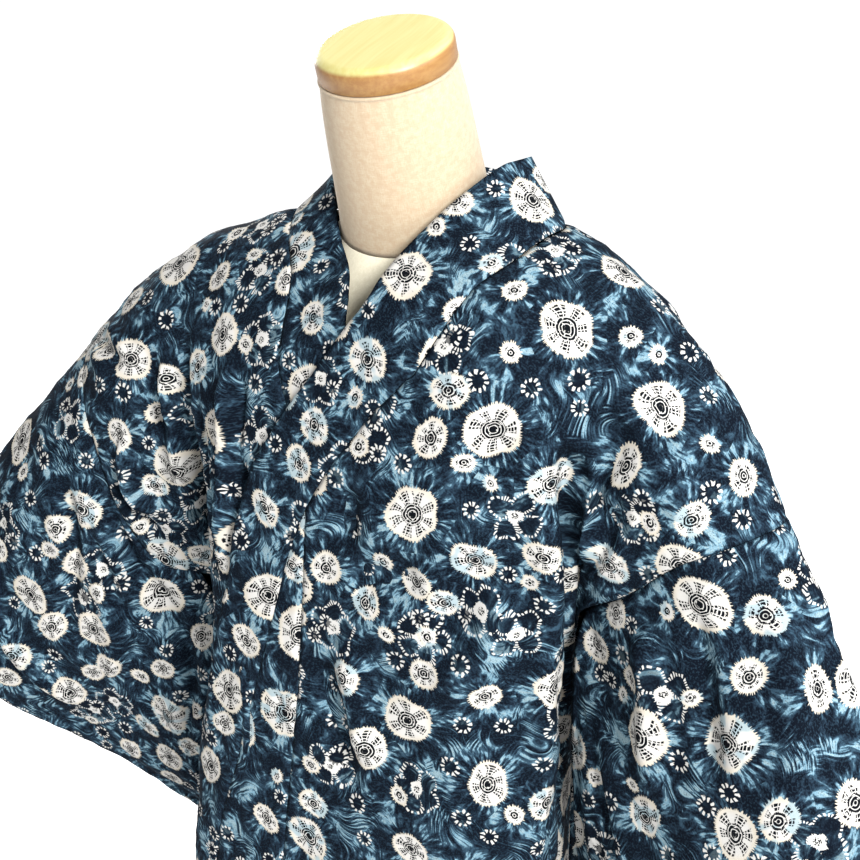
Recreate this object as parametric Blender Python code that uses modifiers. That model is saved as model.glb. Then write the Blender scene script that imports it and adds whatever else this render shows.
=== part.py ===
"""Cotton yukata robe on a limbless dress form: metres, +Z up, the wearer's front towards -Y.

The robe is worn loose with no belt, its left front over its right. Every cloth piece is an open
surface worked out from one drape, and Solidify gives it its wall. The drape is a net of threads,
which are lines down the cloth, and sections, which are lines across it. A place on it is named by
its distance across the cloth from the centre line and its reach down from the shoulder fold:
reach is positive down the front and negative down the back.
"""

from math import cos, pi, radians, sin

import bpy
import numpy as np
from mathutils import Matrix

LEFT = 1
RIGHT = -1
FRONT = 1
BACK = -1

# Walls and gaps
CLOTH_WALL = 0.0015
COLLAR_WALL = 0.003
SEAM_GAP = 0.0005
LAYER = 0.0035               # each front stands off the drape by this where the fronts overlap
CORNER_LAYER = 0.004         # and by this more where it turns the far corner

# The cut
SEAM_ACROSS = 0.35           # centre back to sleeve seam
SIDE_ACROSS = 0.30           # centre back to side seam
ARMHOLE_REACH = 0.21
ROBE_REACH = 1.32
COLLAR_WIDTH = 0.060
OVERLAP_TOP = 0.265
COLLAR_END = 0.70
COLLAR_SLANT = 0.02
NAPE_REACH = 0.082
NAPE_ALONG = 0.15            # along the collar seam, shoulder fold to centre back
SLEEVE_DEPTH = 0.49
HAND_OPENING = 0.23
SLEEVE_EDGE = 0.013          # thickness of a sleeve at its sewn edges
SLEEVE_CROWN = {LEFT: 0.012, RIGHT: 0.003}
SLEEVE_BULGE = {FRONT: 0.018, BACK: 0.034}

# Threads of the net: distance across the cloth from the centre line
THREADS = (0.0, 0.06, 0.12, 0.18, 0.24, 0.30, 0.35)

# Sections of the upper robe, each side in its own right: reach, then (x, y, z) at each thread with
# x away from the centre line. The centre line has one place, that of the left side.
UPPER = {
    LEFT: (
        (0.0, ((0, 0, 1.358), (0.065, 0, 1.351), (0.130, -0.002, 1.330), (0.186, -0.008, 1.300),
               (0.236, -0.016, 1.260), (0.279, -0.027, 1.212), (0.306, -0.038, 1.172))),
        (0.085, ((0, -0.078, 1.320), (0.055, -0.080, 1.320), (0.120, -0.078, 1.306),
                 (0.171, -0.075, 1.274), (0.205, -0.080, 1.235), (0.239, -0.088, 1.193),
                 (0.261, -0.089, 1.152))),
        (0.165, ((0, -0.110, 1.244), (0.056, -0.114, 1.246), (0.116, -0.112, 1.236),
                 (0.165, -0.094, 1.205), (0.189, -0.080, 1.166), (0.205, -0.084, 1.132),
                 (0.212, -0.076, 1.108))),
        (0.235, ((0, -0.122, 1.172), (0.058, -0.125, 1.178), (0.118, -0.118, 1.168),
                 (0.173, -0.092, 1.135), (0.167, -0.060, 1.100), (0.163, -0.050, 1.080),
                 (0.168, -0.050, 1.070))),
        (-0.085, ((0, 0.082, 1.312), (0.055, 0.082, 1.314), (0.120, 0.076, 1.302),
                  (0.174, 0.066, 1.270), (0.208, 0.048, 1.232), (0.240, 0.038, 1.190),
                  (0.262, 0.030, 1.150))),
        (-0.165, ((0, 0.118, 1.244), (0.056, 0.118, 1.244), (0.116, 0.113, 1.234),
                  (0.166, 0.094, 1.204), (0.190, 0.064, 1.165), (0.205, 0.050, 1.131),
                  (0.212, 0.040, 1.108))),
        (-0.235, ((0, 0.127, 1.176), (0.058, 0.126, 1.176), (0.119, 0.119, 1.167),
                  (0.173, 0.092, 1.130), (0.162, 0.056, 1.096), (0.158, 0.044, 1.078),
                  (0.168, 0.046, 1.068))),
    ),
    RIGHT: (
        (0.0, ((0, 0, 1.358), (0.065, 0, 1.338), (0.128, -0.002, 1.318), (0.186, -0.008, 1.296),
               (0.236, -0.014, 1.264), (0.271, -0.024, 1.230), (0.300, -0.032, 1.196))),
        (0.085, ((0, -0.078, 1.320), (0.055, -0.076, 1.294), (0.113, -0.071, 1.281),
                 (0.156, -0.070, 1.258), (0.200, -0.078, 1.222), (0.236, -0.088, 1.178),
                 (0.263, -0.086, 1.142))),
        (0.165, ((0, -0.110, 1.244), (0.056, -0.110, 1.227), (0.108, -0.105, 1.213),
                 (0.144, -0.090, 1.190), (0.170, -0.074, 1.152), (0.212, -0.084, 1.108),
                 (0.247, -0.079, 1.075))),
        (0.235, ((0, -0.122, 1.172), (0.057, -0.120, 1.162), (0.106, -0.112, 1.150),
                 (0.138, -0.087, 1.118), (0.148, -0.042, 1.078), (0.172, -0.042, 1.035),
                 (0.212, -0.054, 1.008))),
        (-0.085, ((0, 0.082, 1.312), (0.055, 0.079, 1.302), (0.116, 0.071, 1.288),
                  (0.168, 0.063, 1.263), (0.206, 0.047, 1.228), (0.238, 0.037, 1.186),
                  (0.262, 0.030, 1.146))),
        (-0.165, ((0, 0.118, 1.244), (0.056, 0.116, 1.236), (0.114, 0.110, 1.222),
                  (0.163, 0.090, 1.194), (0.190, 0.062, 1.152), (0.216, 0.048, 1.112),
                  (0.246, 0.040, 1.080))),
        (-0.235, ((0, 0.127, 1.176), (0.058, 0.125, 1.168), (0.117, 0.117, 1.156),
                  (0.166, 0.090, 1.120), (0.170, 0.066, 1.080), (0.186, 0.050, 1.040),
                  (0.212, 0.046, 1.010))),
    ),
}

# Sections of the hanging body: reach, height at the centre and at the side, then where it lies
HANG = (
    # reach, centre_z, side_z, flat_x, corner_x, side_x, front_y, front_corner, back_y, back_corner
    (0.39, 1.022, 0.965, 0.118, 0.168, 0.147, 0.127, 0.093, 0.122, 0.088),
    (0.62, 0.796, 0.745, 0.122, 0.172, 0.152, 0.130, 0.096, 0.122, 0.088),
    (0.97, 0.448, 0.410, 0.132, 0.188, 0.170, 0.140, 0.104, 0.128, 0.094),
    (1.32, 0.100, 0.066, 0.142, 0.202, 0.186, 0.152, 0.114, 0.138, 0.102),
)
RIGHT_CORNER_IN = {0.39: 0.036, 0.62: 0.022, 0.97: 0.006, 1.32: 0.0}
CORNER_THREAD = 0.18
SIDE_SEAM_GAP = 0.0012

# Front neckline and front edges: reach, distance across on the left and on the right
NECKLINE = (
    (0.0, 0.108, 0.100),
    (0.045, 0.107, 0.086),
    (0.085, 0.100, 0.068),
    (0.15, 0.077, 0.058),
    (0.20, 0.036, 0.040),
    (0.24, 0.002, 0.014),
    (0.265, -0.014, -0.006),
)
OVERLAP_SEAM = ((0.265, -0.014, -0.006), (0.39, -0.024, -0.022), (0.62, -0.045, -0.045),
                (1.32, -0.055, -0.055))
COLLAR_SEAM = ((0.265, -0.014, -0.006), (0.34, -0.047, -0.040), (0.45, -0.085, -0.080),
               (0.57, -0.118, -0.115), (0.70, -0.137, -0.137), (1.32, -0.145, -0.145))

# Free edge of the collar round the neck: along the seam from the shoulder fold, then (x, y, z)
COLLAR_STAND = {
    LEFT: ((0.15, 0.015, -0.092, 1.293), (0.12, 0.026, -0.080, 1.311), (0.085, 0.039, -0.064, 1.332),
           (0.045, 0.058, -0.038, 1.358), (0.0, 0.077, -0.004, 1.378), (-0.03, 0.078, 0.024, 1.378),
           (-0.06, 0.061, 0.056, 1.369), (-0.10, 0.036, 0.098, 1.355), (-0.15, 0.0, 0.120, 1.346)),
    RIGHT: ((0.15, -0.002, -0.092, 1.276), (0.12, 0.012, -0.074, 1.292), (0.085, 0.028, -0.057, 1.311),
            (0.045, 0.050, -0.033, 1.333), (0.0, 0.071, -0.006, 1.354), (-0.03, 0.076, 0.020, 1.362),
            (-0.06, 0.061, 0.056, 1.364), (-0.10, 0.036, 0.098, 1.355), (-0.15, 0.0, 0.120, 1.346)),
}
STAND_FROM = 0.15            # in front of this reach the collar lies on the drape

# Sleeve edges: depth below the fold, then (x, y, z) of the wearer's own side
HANGING_EDGE = {
    (LEFT, FRONT): ((0.28, 0.177, -0.066, 1.006), (0.36, 0.178, -0.060, 0.928),
                    (0.43, 0.187, -0.042, 0.862), (0.49, 0.200, -0.012, 0.812)),
    (LEFT, BACK): ((0.28, 0.188, 0.048, 1.006), (0.36, 0.194, 0.042, 0.928),
                   (0.43, 0.198, 0.022, 0.862), (0.49, 0.200, -0.012, 0.812)),
    (RIGHT, FRONT): ((0.28, 0.206, -0.046, 0.942), (0.36, 0.212, -0.043, 0.862),
                     (0.43, 0.216, -0.038, 0.790), (0.49, 0.212, -0.032, 0.722)),
    (RIGHT, BACK): ((0.28, 0.202, 0.044, 0.942), (0.36, 0.203, 0.030, 0.862),
                    (0.43, 0.206, -0.002, 0.790), (0.49, 0.212, -0.032, 0.722)),
}
CUFF_EDGE = {
    LEFT: ((0.0, 0.448, -0.090, 0.882), (0.07, 0.425, -0.112, 0.822), (0.15, 0.395, -0.112, 0.750),
           (0.23, 0.367, -0.092, 0.680), (0.36, 0.328, -0.045, 0.575), (0.43, 0.313, -0.015, 0.533),
           (0.49, 0.302, 0.005, 0.502)),
    RIGHT: ((0.0, 0.525, -0.085, 0.925), (0.07, 0.475, -0.095, 0.878), (0.15, 0.412, -0.078, 0.836),
            (0.23, 0.350, -0.040, 0.798), (0.36, 0.252, 0.010, 0.728), (0.43, 0.228, 0.060, 0.676),
            (0.49, 0.218, 0.100, 0.622)),
}
CUFF_GAPE = 0.036            # how far the back of the hand opening stands behind its front

# Where the meshes have their sections
UPPER_LEVELS = (0.02, 0.045, 0.07, 0.095, 0.12, 0.15, 0.18, ARMHOLE_REACH)
FRONT_LEVELS = (0.237, OVERLAP_TOP, 0.30, 0.34, 0.39, 0.44, 0.50, 0.57, 0.635, COLLAR_END,
                0.79, 0.88, 0.98, 1.09, 1.21, ROBE_REACH)
BACK_LEVELS = (0.24, 0.28, 0.33, 0.39, 0.46, 0.54, 0.62, 0.72, 0.84, 0.97, 1.09, 1.21, ROBE_REACH)
NAPE_STEPS = 6
FLAT_ACROSS = 0.125          # the body columns are even up to here and closer round the side
FLAT_SHARES = (0, 0.2, 0.4, 0.6, 0.8)
SIDE_SHARES = (0, 0.13, 0.26, 0.39, 0.52, 0.65, 0.82, 1)
OVERLAP_COLUMNS = 7
COLLAR_COLUMNS = 4
SLEEVE_COLUMNS = 11
SLEEVE_LEVELS = (0.245, 0.28, 0.32, 0.36, 0.40, 0.45, SLEEVE_DEPTH)

# Dress form: neck base ring, tilted forward, and the turned neck and cap on it
NECK_BASE = (0.0, 0.0, 1.33)
NECK_LEAN = radians(20)
NECK_BASE_RADIUS = 0.058
NECK_PROFILE = ((0.0468, 0.1147), (0.0485, 0.085), (0.0522, 0.045), (0.0557, 0.015), (0.0578, 0.0003))
CAP_BOTTOM = 0.1150
CAP_HEIGHT = 0.0185
CAP_RADIUS = 0.0475
CAP_ROUNDING = 0.007
CAP_CHAMFER = 0.0015
TORSO = (
    # z, half_width, front, back, rise: how much the ring rises per metre towards the back
    (0.720, 0.130, 0.090, 0.094, 0), (0.726, 0.134, 0.094, 0.098, 0), (0.800, 0.136, 0.098, 0.104, 0),
    (0.880, 0.130, 0.092, 0.098, 0), (0.985, 0.110, 0.078, 0.080, 0), (1.060, 0.120, 0.092, 0.088, 0),
    (1.130, 0.128, 0.104, 0.095, 0), (1.190, 0.130, 0.098, 0.098, 0), (1.232, 0.146, 0.085, 0.092, 0.04),
    (1.260, 0.148, 0.070, 0.080, 0.10), (1.280, 0.130, 0.063, 0.070, 0.18),
    (1.298, 0.096, 0.061, 0.064, 0.28),
)
TORSO_ROUNDNESS = 2.3
FLARE_DIP = 0.003            # hollow where the neck base meets the shoulders
TORSO_SIDES = 40
POLE_RADIUS = 0.0125
BASE_PROFILE = ((0.022, 0.045), (0.028, 0.039), (0.030, 0.022), (0.150, 0.016), (0.162, 0.012),
                (0.165, 0.006), (0.165, 0.0))
TURNED_SIDES = 48

COLLECTION = "yukata_robe"
COLOURS = {
    "cotton": ((0.016, 0.034, 0.075, 1), 0.85, 0.0),
    "form_cloth": ((0.86, 0.78, 0.64, 1), 0.85, 0.0),
    "wood": ((0.72, 0.45, 0.20, 1), 0.45, 0.0),
    "steel": ((0.62, 0.62, 0.62, 1), 0.30, 1.0),
    "paint": ((0.80, 0.79, 0.76, 1), 0.50, 0.0),
}


def clear_scene():
    for old in list(bpy.data.objects):
        bpy.data.objects.remove(old, do_unlink=True)


def hermite(knots, values, slopes, at, own):
    """Smooth curve through values at knots. With own, each place has its own column of values."""
    span = np.clip(np.searchsorted(knots, at, side="right") - 1, 0, len(knots) - 2)
    step = knots[span + 1] - knots[span]
    u = (at - knots[span]) / step
    column = (np.arange(len(at)),) if own else ()
    spread = (slice(None),) + (None,) * (values.ndim - 1 - len(column))
    u, step = u[spread], step[spread]
    start, end = values[(span, *column)], values[(span + 1, *column)]
    leave, arrive = slopes[(span, *column)], slopes[(span + 1, *column)]
    return ((2 * u**3 - 3 * u**2 + 1) * start + (u**3 - 2 * u**2 + u) * step * leave
            + (3 * u**2 - 2 * u**3) * end + (u**3 - u**2) * step * arrive)


def steady_slopes(knots, values):
    """Slopes that keep a curve between its knots from swinging past them."""
    steps = np.diff(knots).reshape(-1, *[1] * (values.ndim - 1))
    rates = np.diff(values, axis=0) / steps
    before, after = rates[:-1], rates[1:]
    same_way = before * after > 0
    total = np.where(same_way, before + after, 1)
    middle = np.where(same_way, 2 * before * after / total, 0)
    return np.concatenate((rates[:1], middle, rates[-1:]))


def curve(rows, at):
    """Smooth curve through a table whose first column is the knot."""
    table = np.array(sorted(rows), float)
    knots, values = table[:, 0], table[:, 1:]
    at = np.atleast_1d(np.asarray(at, float))
    return hermite(knots, values, steady_slopes(knots, values), at, False)


def smooth_step(low, high, at):
    u = np.clip((np.asarray(at, float) - low) / (high - low), 0, 1)
    return u * u * (3 - 2 * u)


def hanging_section(side, row, facing):
    """One section of the hanging body, thread by thread, with x away from the centre line."""
    reach, centre_z, side_z, flat, corner, flank, *depths = row
    depth, corner_depth = depths[:2] if facing == FRONT else depths[2:]
    across = ((0, depth), (flat / 2, depth + 0.001), (flat, depth - 0.005), (corner, corner_depth),
              ((corner + flank) / 2, corner_depth * 0.42), (flank, SIDE_SEAM_GAP / 2),
              (flank + 0.004, -0.02))
    inward = RIGHT_CORNER_IN[reach] if side == RIGHT and facing == FRONT else 0
    points = []
    for thread, (x, y) in zip(THREADS, across):
        near_corner = max(0.0, 1 - abs(thread - CORNER_THREAD) / CORNER_THREAD)
        z = centre_z + (side_z - centre_z) * min(thread / SIDE_ACROSS, 1) ** 2
        points.append((x - inward * near_corner, -facing * y, z))
    return points


def drape_net():
    """(reaches, places across, points): sections from the back hem over the shoulder to the front hem."""
    halves = {}
    for side in (LEFT, RIGHT):
        sections = dict(UPPER[side])
        for facing in (FRONT, BACK):
            sections.update({facing * row[0]: hanging_section(side, row, facing) for row in HANG})
        halves[side] = sections
    reaches = sorted(halves[LEFT])
    rows = []
    for reach in reaches:
        left = np.array(halves[LEFT][reach], float)
        right = np.array(halves[RIGHT][reach], float) * (-1, 1, 1)
        rows.append(np.concatenate((right[:0:-1], left)))
    across = np.array([-thread for thread in THREADS[:0:-1]] + list(THREADS))
    return np.array(reaches), across, np.array(rows)


REACHES, ACROSS, NET = drape_net()
NET_DOWN = steady_slopes(REACHES, NET)


def drape(across, reach):
    """Points of the drape at places across (positive to the wearer's left) and reaches."""
    across, reach = np.broadcast_arrays(np.asarray(across, float), np.asarray(reach, float))
    shape = across.shape
    across, reach = across.ravel(), reach.ravel()
    lines = hermite(REACHES, NET, NET_DOWN, reach, False).swapaxes(0, 1)
    slopes = np.gradient(lines, ACROSS, axis=0)
    return hermite(ACROSS, lines, slopes, across, True).reshape(*shape, 3)


def outward(across, reach, step=0.004):
    """Outward normal of the drape."""
    down = drape(across, np.asarray(reach) + step) - drape(across, np.asarray(reach) - step)
    over = drape(np.asarray(across) + step, reach) - drape(np.asarray(across) - step, reach)
    normal = np.cross(down, over)
    return normal / np.linalg.norm(normal, axis=-1, keepdims=True)


def front_points(side, own_across, reach):
    """Points of one front or back, with the left front laid over the right where they overlap."""
    own_across, reach = np.broadcast_arrays(np.asarray(own_across, float), np.asarray(reach, float))
    layer = LAYER * (1 - smooth_step(0.10, 0.19, own_across))
    layer = (layer + CORNER_LAYER * smooth_step(0.10, 0.15, -own_across)) * smooth_step(0.05, 0.13, reach)
    across = side * own_across
    return drape(across, reach) + side * layer[..., None] * outward(across, reach)


def own_column(rows, side, at):
    column = 0 if side == LEFT else 1
    return curve([(row[0], row[1 + column]) for row in rows], at)[:, 0]


def inner_edge(side, reach):
    """Inner edge of a body panel: neckline and overlap seam in front, neck and centre seam behind."""
    reach = np.asarray(reach, float)
    neck = own_column(NECKLINE, side, np.clip(reach, 0, OVERLAP_TOP))
    seam = own_column(OVERLAP_SEAM, side, np.clip(reach, OVERLAP_TOP, None))
    round_nape = np.sqrt(np.clip(1 - (np.clip(reach, -NAPE_REACH, 0) / NAPE_REACH) ** 2, 0, 1))
    nape = own_column(NECKLINE, side, [0.0])[0] * round_nape + SEAM_GAP
    return np.where(reach < 0, nape, np.where(reach < OVERLAP_TOP, neck, seam) + SEAM_GAP)


def outer_edge(reach):
    """Outer edge of a body panel: the sleeve seam, then in to the side seam."""
    narrowing = smooth_step(ARMHOLE_REACH, 0.34, np.abs(reach))
    return SEAM_ACROSS - SEAM_GAP + (SIDE_ACROSS - SEAM_ACROSS) * narrowing


def nape_reaches():
    """Reaches of the back neckline, even round its curve, from the shoulder to the centre back."""
    return [-NAPE_REACH * sin(pi / 2 * step / NAPE_STEPS) for step in range(1, NAPE_STEPS + 1)]


def body_levels():
    front = (0.0,) + UPPER_LEVELS + FRONT_LEVELS
    back = sorted({-level for level in UPPER_LEVELS if level > NAPE_REACH + 0.01})
    back = [-level for level in reversed(BACK_LEVELS)] + back
    return np.array(back + sorted(nape_reaches()) + list(front))


def body_grid(side):
    levels = body_levels()
    inner, outer = inner_edge(side, levels)[:, None], outer_edge(levels)[:, None]
    flat = inner + (FLAT_ACROSS - inner) * np.array(FLAT_SHARES)
    round_side = FLAT_ACROSS + (outer - FLAT_ACROSS) * np.array(SIDE_SHARES)
    across = np.concatenate((flat, round_side), axis=1)
    return front_points(side, across, levels[:, None])


def collar_seam(side, reach):
    """Distance across of the collar seam down the front, on the body and then on the overlap."""
    on_body = own_column(NECKLINE, side, np.clip(reach, 0, OVERLAP_TOP))
    on_overlap = own_column(COLLAR_SEAM, side, np.clip(reach, OVERLAP_TOP, ROBE_REACH))
    return np.where(np.asarray(reach) < OVERLAP_TOP, on_body, on_overlap)


def overlap_grid(side):
    """Rows down the overlap panel: beside the collar, across its end, then the full width."""
    beside = [level for level in FRONT_LEVELS if OVERLAP_TOP < level <= COLLAR_END]
    end_share = np.arange(1, COLLAR_COLUMNS) / (COLLAR_COLUMNS - 1)
    below = [level for level in FRONT_LEVELS if level > COLLAR_END + COLLAR_SLANT]
    levels = np.concatenate((beside, COLLAR_END + COLLAR_SLANT * end_share, below))
    width = np.concatenate((np.zeros(len(beside)), end_share, np.ones(len(below)))) * COLLAR_WIDTH
    seam = own_column(OVERLAP_SEAM, side, levels) - SEAM_GAP
    edge = collar_seam(side, levels) - width + SEAM_GAP * (width == 0)
    across = seam[:, None] + (edge - seam)[:, None] * np.linspace(0, 1, OVERLAP_COLUMNS)
    return front_points(side, across, levels[:, None])


def collar_stations():
    """Along the collar seam from the lower end up to the shoulder fold, then to the centre back."""
    front = [level for level in (0.0,) + UPPER_LEVELS + FRONT_LEVELS if level <= COLLAR_END]
    nape = [-NAPE_ALONG * step / NAPE_STEPS for step in range(1, NAPE_STEPS + 1)]
    return np.array(sorted(front, reverse=True) + nape)


def collar_half(side):
    """One half of the collar: rows along it, from its lower end to the nape, seam to free edge."""
    along = collar_stations()
    reach = np.where(along < 0, -NAPE_REACH * np.sin(pi / 2 * np.clip(-along / NAPE_ALONG, 0, 1)), along)
    behind = own_column(NECKLINE, side, [0.0])[0] * np.cos(pi / 2 * np.clip(-along / NAPE_ALONG, 0, 1))
    across = np.where(along < 0, behind, collar_seam(side, along)) - np.where(along < 0, 0, SEAM_GAP)
    reach = reach + np.where(along < 0, SEAM_GAP, 0)
    ahead = np.gradient(across, reach + 1e-9 * along)
    ahead = np.where(along < 0, 0, ahead)
    length = np.sqrt(1 + ahead**2)
    share = np.linspace(0, 1, COLLAR_COLUMNS)
    up = COLLAR_WIDTH * ahead / length
    over = COLLAR_WIDTH / length
    up[0], over[0] = COLLAR_SLANT, COLLAR_WIDTH
    flat = front_points(side, across[:, None] - over[:, None] * share,
                        reach[:, None] + up[:, None] * share - SEAM_GAP * (along == COLLAR_END)[:, None])
    seam = flat[:, :1]
    edge = curve(COLLAR_STAND[side], np.clip(along, -NAPE_ALONG, STAND_FROM))
    edge[:, 0] *= side
    standing = seam + (edge[:, None] - seam) * share[:, None]
    weight = 1 - smooth_step(0.07, STAND_FROM, along)
    return flat + (standing - flat) * weight[:, None, None]


def collar_grid():
    """The whole collar, from the lower end of its left front round the nape to that of its right."""
    left, right = collar_half(LEFT), collar_half(RIGHT)
    return np.concatenate((left, right[-2::-1]))


def sleeve_edges(side, facing, levels):
    """Edge of one layer at the body, and its edge at the cuff, with x away from the centre line."""
    at_seam = levels <= ARMHOLE_REACH + 1e-6
    top = drape(side * (SEAM_ACROSS + SEAM_GAP), facing * np.minimum(levels, ARMHOLE_REACH))
    top[:, 0] *= side
    joint = (ARMHOLE_REACH, *top[at_seam][-1])
    hanging = curve((joint,) + HANGING_EDGE[side, facing], np.maximum(levels, ARMHOLE_REACH))
    cuff = curve(CUFF_EDGE[side], levels)
    if facing == BACK:
        cuff[:, 1] += CUFF_GAPE * np.sin(pi * np.clip(levels / HAND_OPENING, 0, 1))
    return np.where(at_seam[:, None], top, hanging), cuff


def sleeve_grid(side):
    """Front rows from the fold down, then back rows up to the fold again, and where they turn."""
    levels = np.array((0.0,) + UPPER_LEVELS + SLEEVE_LEVELS)
    share = np.linspace(0, 1, SLEEVE_COLUMNS)[:, None]
    edges = {facing: sleeve_edges(side, facing, levels) for facing in (FRONT, BACK)}
    inner_middle = (edges[FRONT][0] + edges[BACK][0]) / 2
    cuff_middle = (edges[FRONT][1] + edges[BACK][1]) / 2
    through = np.cross(cuff_middle - inner_middle, np.gradient(inner_middle + cuff_middle, axis=0))
    through /= np.linalg.norm(through, axis=1, keepdims=True)
    middle = np.sin(pi * share)
    belly = np.sin(pi * np.clip(levels / SLEEVE_DEPTH, 0, 1))
    crown = SLEEVE_CROWN[side] * (1 - smooth_step(0.0, 0.2, levels))
    at_cuff = smooth_step(0.0, 0.05, levels)
    at_bottom = smooth_step(0.43, SLEEVE_DEPTH, levels)
    layers = {}
    for facing, (inner, cuff) in edges.items():
        split = at_bottom[:, None, None] * (1 - share) + at_cuff[:, None, None] * share
        offset = SLEEVE_EDGE / 2 * split + SLEEVE_BULGE[facing] * belly[:, None, None] * middle
        grid = inner[:, None] + (cuff - inner)[:, None] * share - facing * offset * through[:, None]
        grid += crown[:, None, None] * middle * np.array((1, 0, 1))
        grid[..., 0] *= side
        layers[facing] = grid
    turn = len(levels)
    return np.concatenate((layers[FRONT], layers[BACK][:0:-1])), turn, int(np.argmax(levels >= HAND_OPENING))


def quads(rows, columns, wrap=False):
    """Faces of a grid of points, wrapped round in the row direction if asked."""
    last = rows if wrap else rows - 1
    return [(i * columns + j, (i + 1) % rows * columns + j, (i + 1) % rows * columns + j + 1,
             i * columns + j + 1) for i in range(last) for j in range(columns - 1)]


def material(name):
    colour, roughness, metallic = COLOURS[name]
    made = bpy.data.materials.get(name) or bpy.data.materials.new(name)
    made.use_nodes = True
    shader = made.node_tree.nodes["Principled BSDF"]
    shader.inputs["Base Color"].default_value = colour
    shader.inputs["Roughness"].default_value = roughness
    shader.inputs["Metallic"].default_value = metallic
    return made


def add_object(name, mesh, finish):
    made = bpy.data.objects.new(name, mesh)
    bpy.data.collections[COLLECTION].objects.link(made)
    own = material(finish).copy()
    own.name = name
    made.data.materials.append(own)
    mesh.shade_smooth()
    return made


def add_cloth(name, points, faces, wall, flip):
    """An open sheet with a wall on its inner side."""
    mesh = bpy.data.meshes.new(name)
    if flip:
        faces = [face[::-1] for face in faces]
    mesh.from_pydata(points.reshape(-1, 3).tolist(), [], faces)
    made = add_object(name, mesh, "cotton")
    solid = made.modifiers.new("wall", "SOLIDIFY")
    solid.thickness = wall
    solid.offset = -1
    return made


def add_grid(name, grid, wall, flip=False):
    rows, columns = grid.shape[:2]
    return add_cloth(name, grid, quads(rows, columns), wall, flip)


def add_sleeve(name, side):
    grid, turn, opening_end = sleeve_grid(side)
    rows, columns = grid.shape[:2]
    faces = quads(rows, columns, wrap=True)
    last = columns - 1
    for level in range(opening_end, turn - 1):
        ahead, behind = level, 2 * (turn - 1) + 1 - level
        faces.append((ahead * columns + last, (ahead + 1) * columns + last,
                      (behind - 1) * columns + last, behind * columns + last))
    return add_cloth(name, grid, faces, CLOTH_WALL, side == RIGHT)


def add_turned(name, profile, finish, matrix=None):
    """A solid turned about its own Z axis from a profile that runs down its outer side."""
    points = [(0, 0, profile[0][1])] + [(r, 0, z) for r, z in profile] + [(0, 0, profile[-1][1])]
    mesh = bpy.data.meshes.new(name)
    mesh.from_pydata(points, [(i, i + 1) for i in range(len(points) - 1)], [])
    made = add_object(name, mesh, finish)
    screw = made.modifiers.new("turn", "SCREW")
    screw.steps = screw.render_steps = TURNED_SIDES
    screw.use_merge_vertices = True
    screw.merge_threshold = 0.00005
    if matrix:
        made.matrix_world = matrix
    return made


def torso_ring(half, front, back):
    """Plan outline of the torso, anticlockwise from above."""
    ring = []
    for step in range(TORSO_SIDES):
        turn = 2 * pi * step / TORSO_SIDES
        c, s = cos(turn), sin(turn)
        depth = back if s > 0 else front
        power = 2 / TORSO_ROUNDNESS
        ring.append((half * np.sign(c) * abs(c) ** power, depth * np.sign(s) * abs(s) ** power))
    return np.array(ring)


def add_torso():
    """Rings from the hips up to the tilted ring on which the neck stands."""
    rings = []
    for z, half, front, back, rise in TORSO:
        ring = torso_ring(half, front, back)
        rings.append(np.column_stack((ring, z + rise * ring[:, 1])))
    turn = 2 * pi * np.arange(TORSO_SIDES) / TORSO_SIDES
    x, y = NECK_BASE_RADIUS * np.cos(turn), NECK_BASE_RADIUS * np.sin(turn)
    neck = np.column_stack((x, y * cos(NECK_LEAN), y * sin(NECK_LEAN))) + np.array(NECK_BASE)
    flare = rings[-1] * 0.4 + neck * 0.6 - np.array((0, 0, FLARE_DIP))
    rings += [flare, neck]
    points = np.array(rings)
    count = len(rings)
    faces = [(i * TORSO_SIDES + j, i * TORSO_SIDES + (j + 1) % TORSO_SIDES,
              (i + 1) * TORSO_SIDES + (j + 1) % TORSO_SIDES, (i + 1) * TORSO_SIDES + j)
             for i in range(count - 1) for j in range(TORSO_SIDES)]
    faces.append(tuple(range(TORSO_SIDES - 1, -1, -1)))
    faces.append(tuple(range((count - 1) * TORSO_SIDES, count * TORSO_SIDES)))
    mesh = bpy.data.meshes.new("form_torso")
    mesh.from_pydata(points.reshape(-1, 3).tolist(), [], faces)
    return add_object("form_torso", mesh, "form_cloth")


def cap_profile():
    top = CAP_BOTTOM + CAP_HEIGHT
    rounding = [(CAP_RADIUS - CAP_ROUNDING + CAP_ROUNDING * sin(pi / 2 * step / 5),
                 top - CAP_ROUNDING + CAP_ROUNDING * cos(pi / 2 * step / 5)) for step in range(6)]
    return rounding + [(CAP_RADIUS, CAP_BOTTOM + CAP_CHAMFER), (CAP_RADIUS - CAP_CHAMFER, CAP_BOTTOM)]


def add_form():
    add_torso()
    leaning = Matrix.Translation(NECK_BASE) @ Matrix.Rotation(NECK_LEAN, 4, "X")
    add_turned("form_neck", NECK_PROFILE, "form_cloth", leaning)
    add_turned("neck_cap", cap_profile(), "wood", leaning)
    pole_top = TORSO[0][0] - SEAM_GAP
    pole_bottom = BASE_PROFILE[0][1] + SEAM_GAP
    add_turned("pole", ((POLE_RADIUS, pole_top), (POLE_RADIUS, pole_bottom)), "steel")
    add_turned("base_plate", BASE_PROFILE, "paint")


def add_robe():
    add_grid("left_body_panel", body_grid(LEFT), CLOTH_WALL)
    add_grid("right_body_panel", body_grid(RIGHT), CLOTH_WALL, flip=True)
    add_grid("left_overlap_panel", overlap_grid(LEFT), CLOTH_WALL, flip=True)
    add_grid("right_overlap_panel", overlap_grid(RIGHT), CLOTH_WALL)
    add_grid("collar", collar_grid(), COLLAR_WALL)
    add_sleeve("left_sleeve", LEFT)
    add_sleeve("right_sleeve", RIGHT)


def main():
    clear_scene()
    bpy.context.scene.collection.children.link(bpy.data.collections.new(COLLECTION))
    add_form()
    add_robe()


main()
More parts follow.
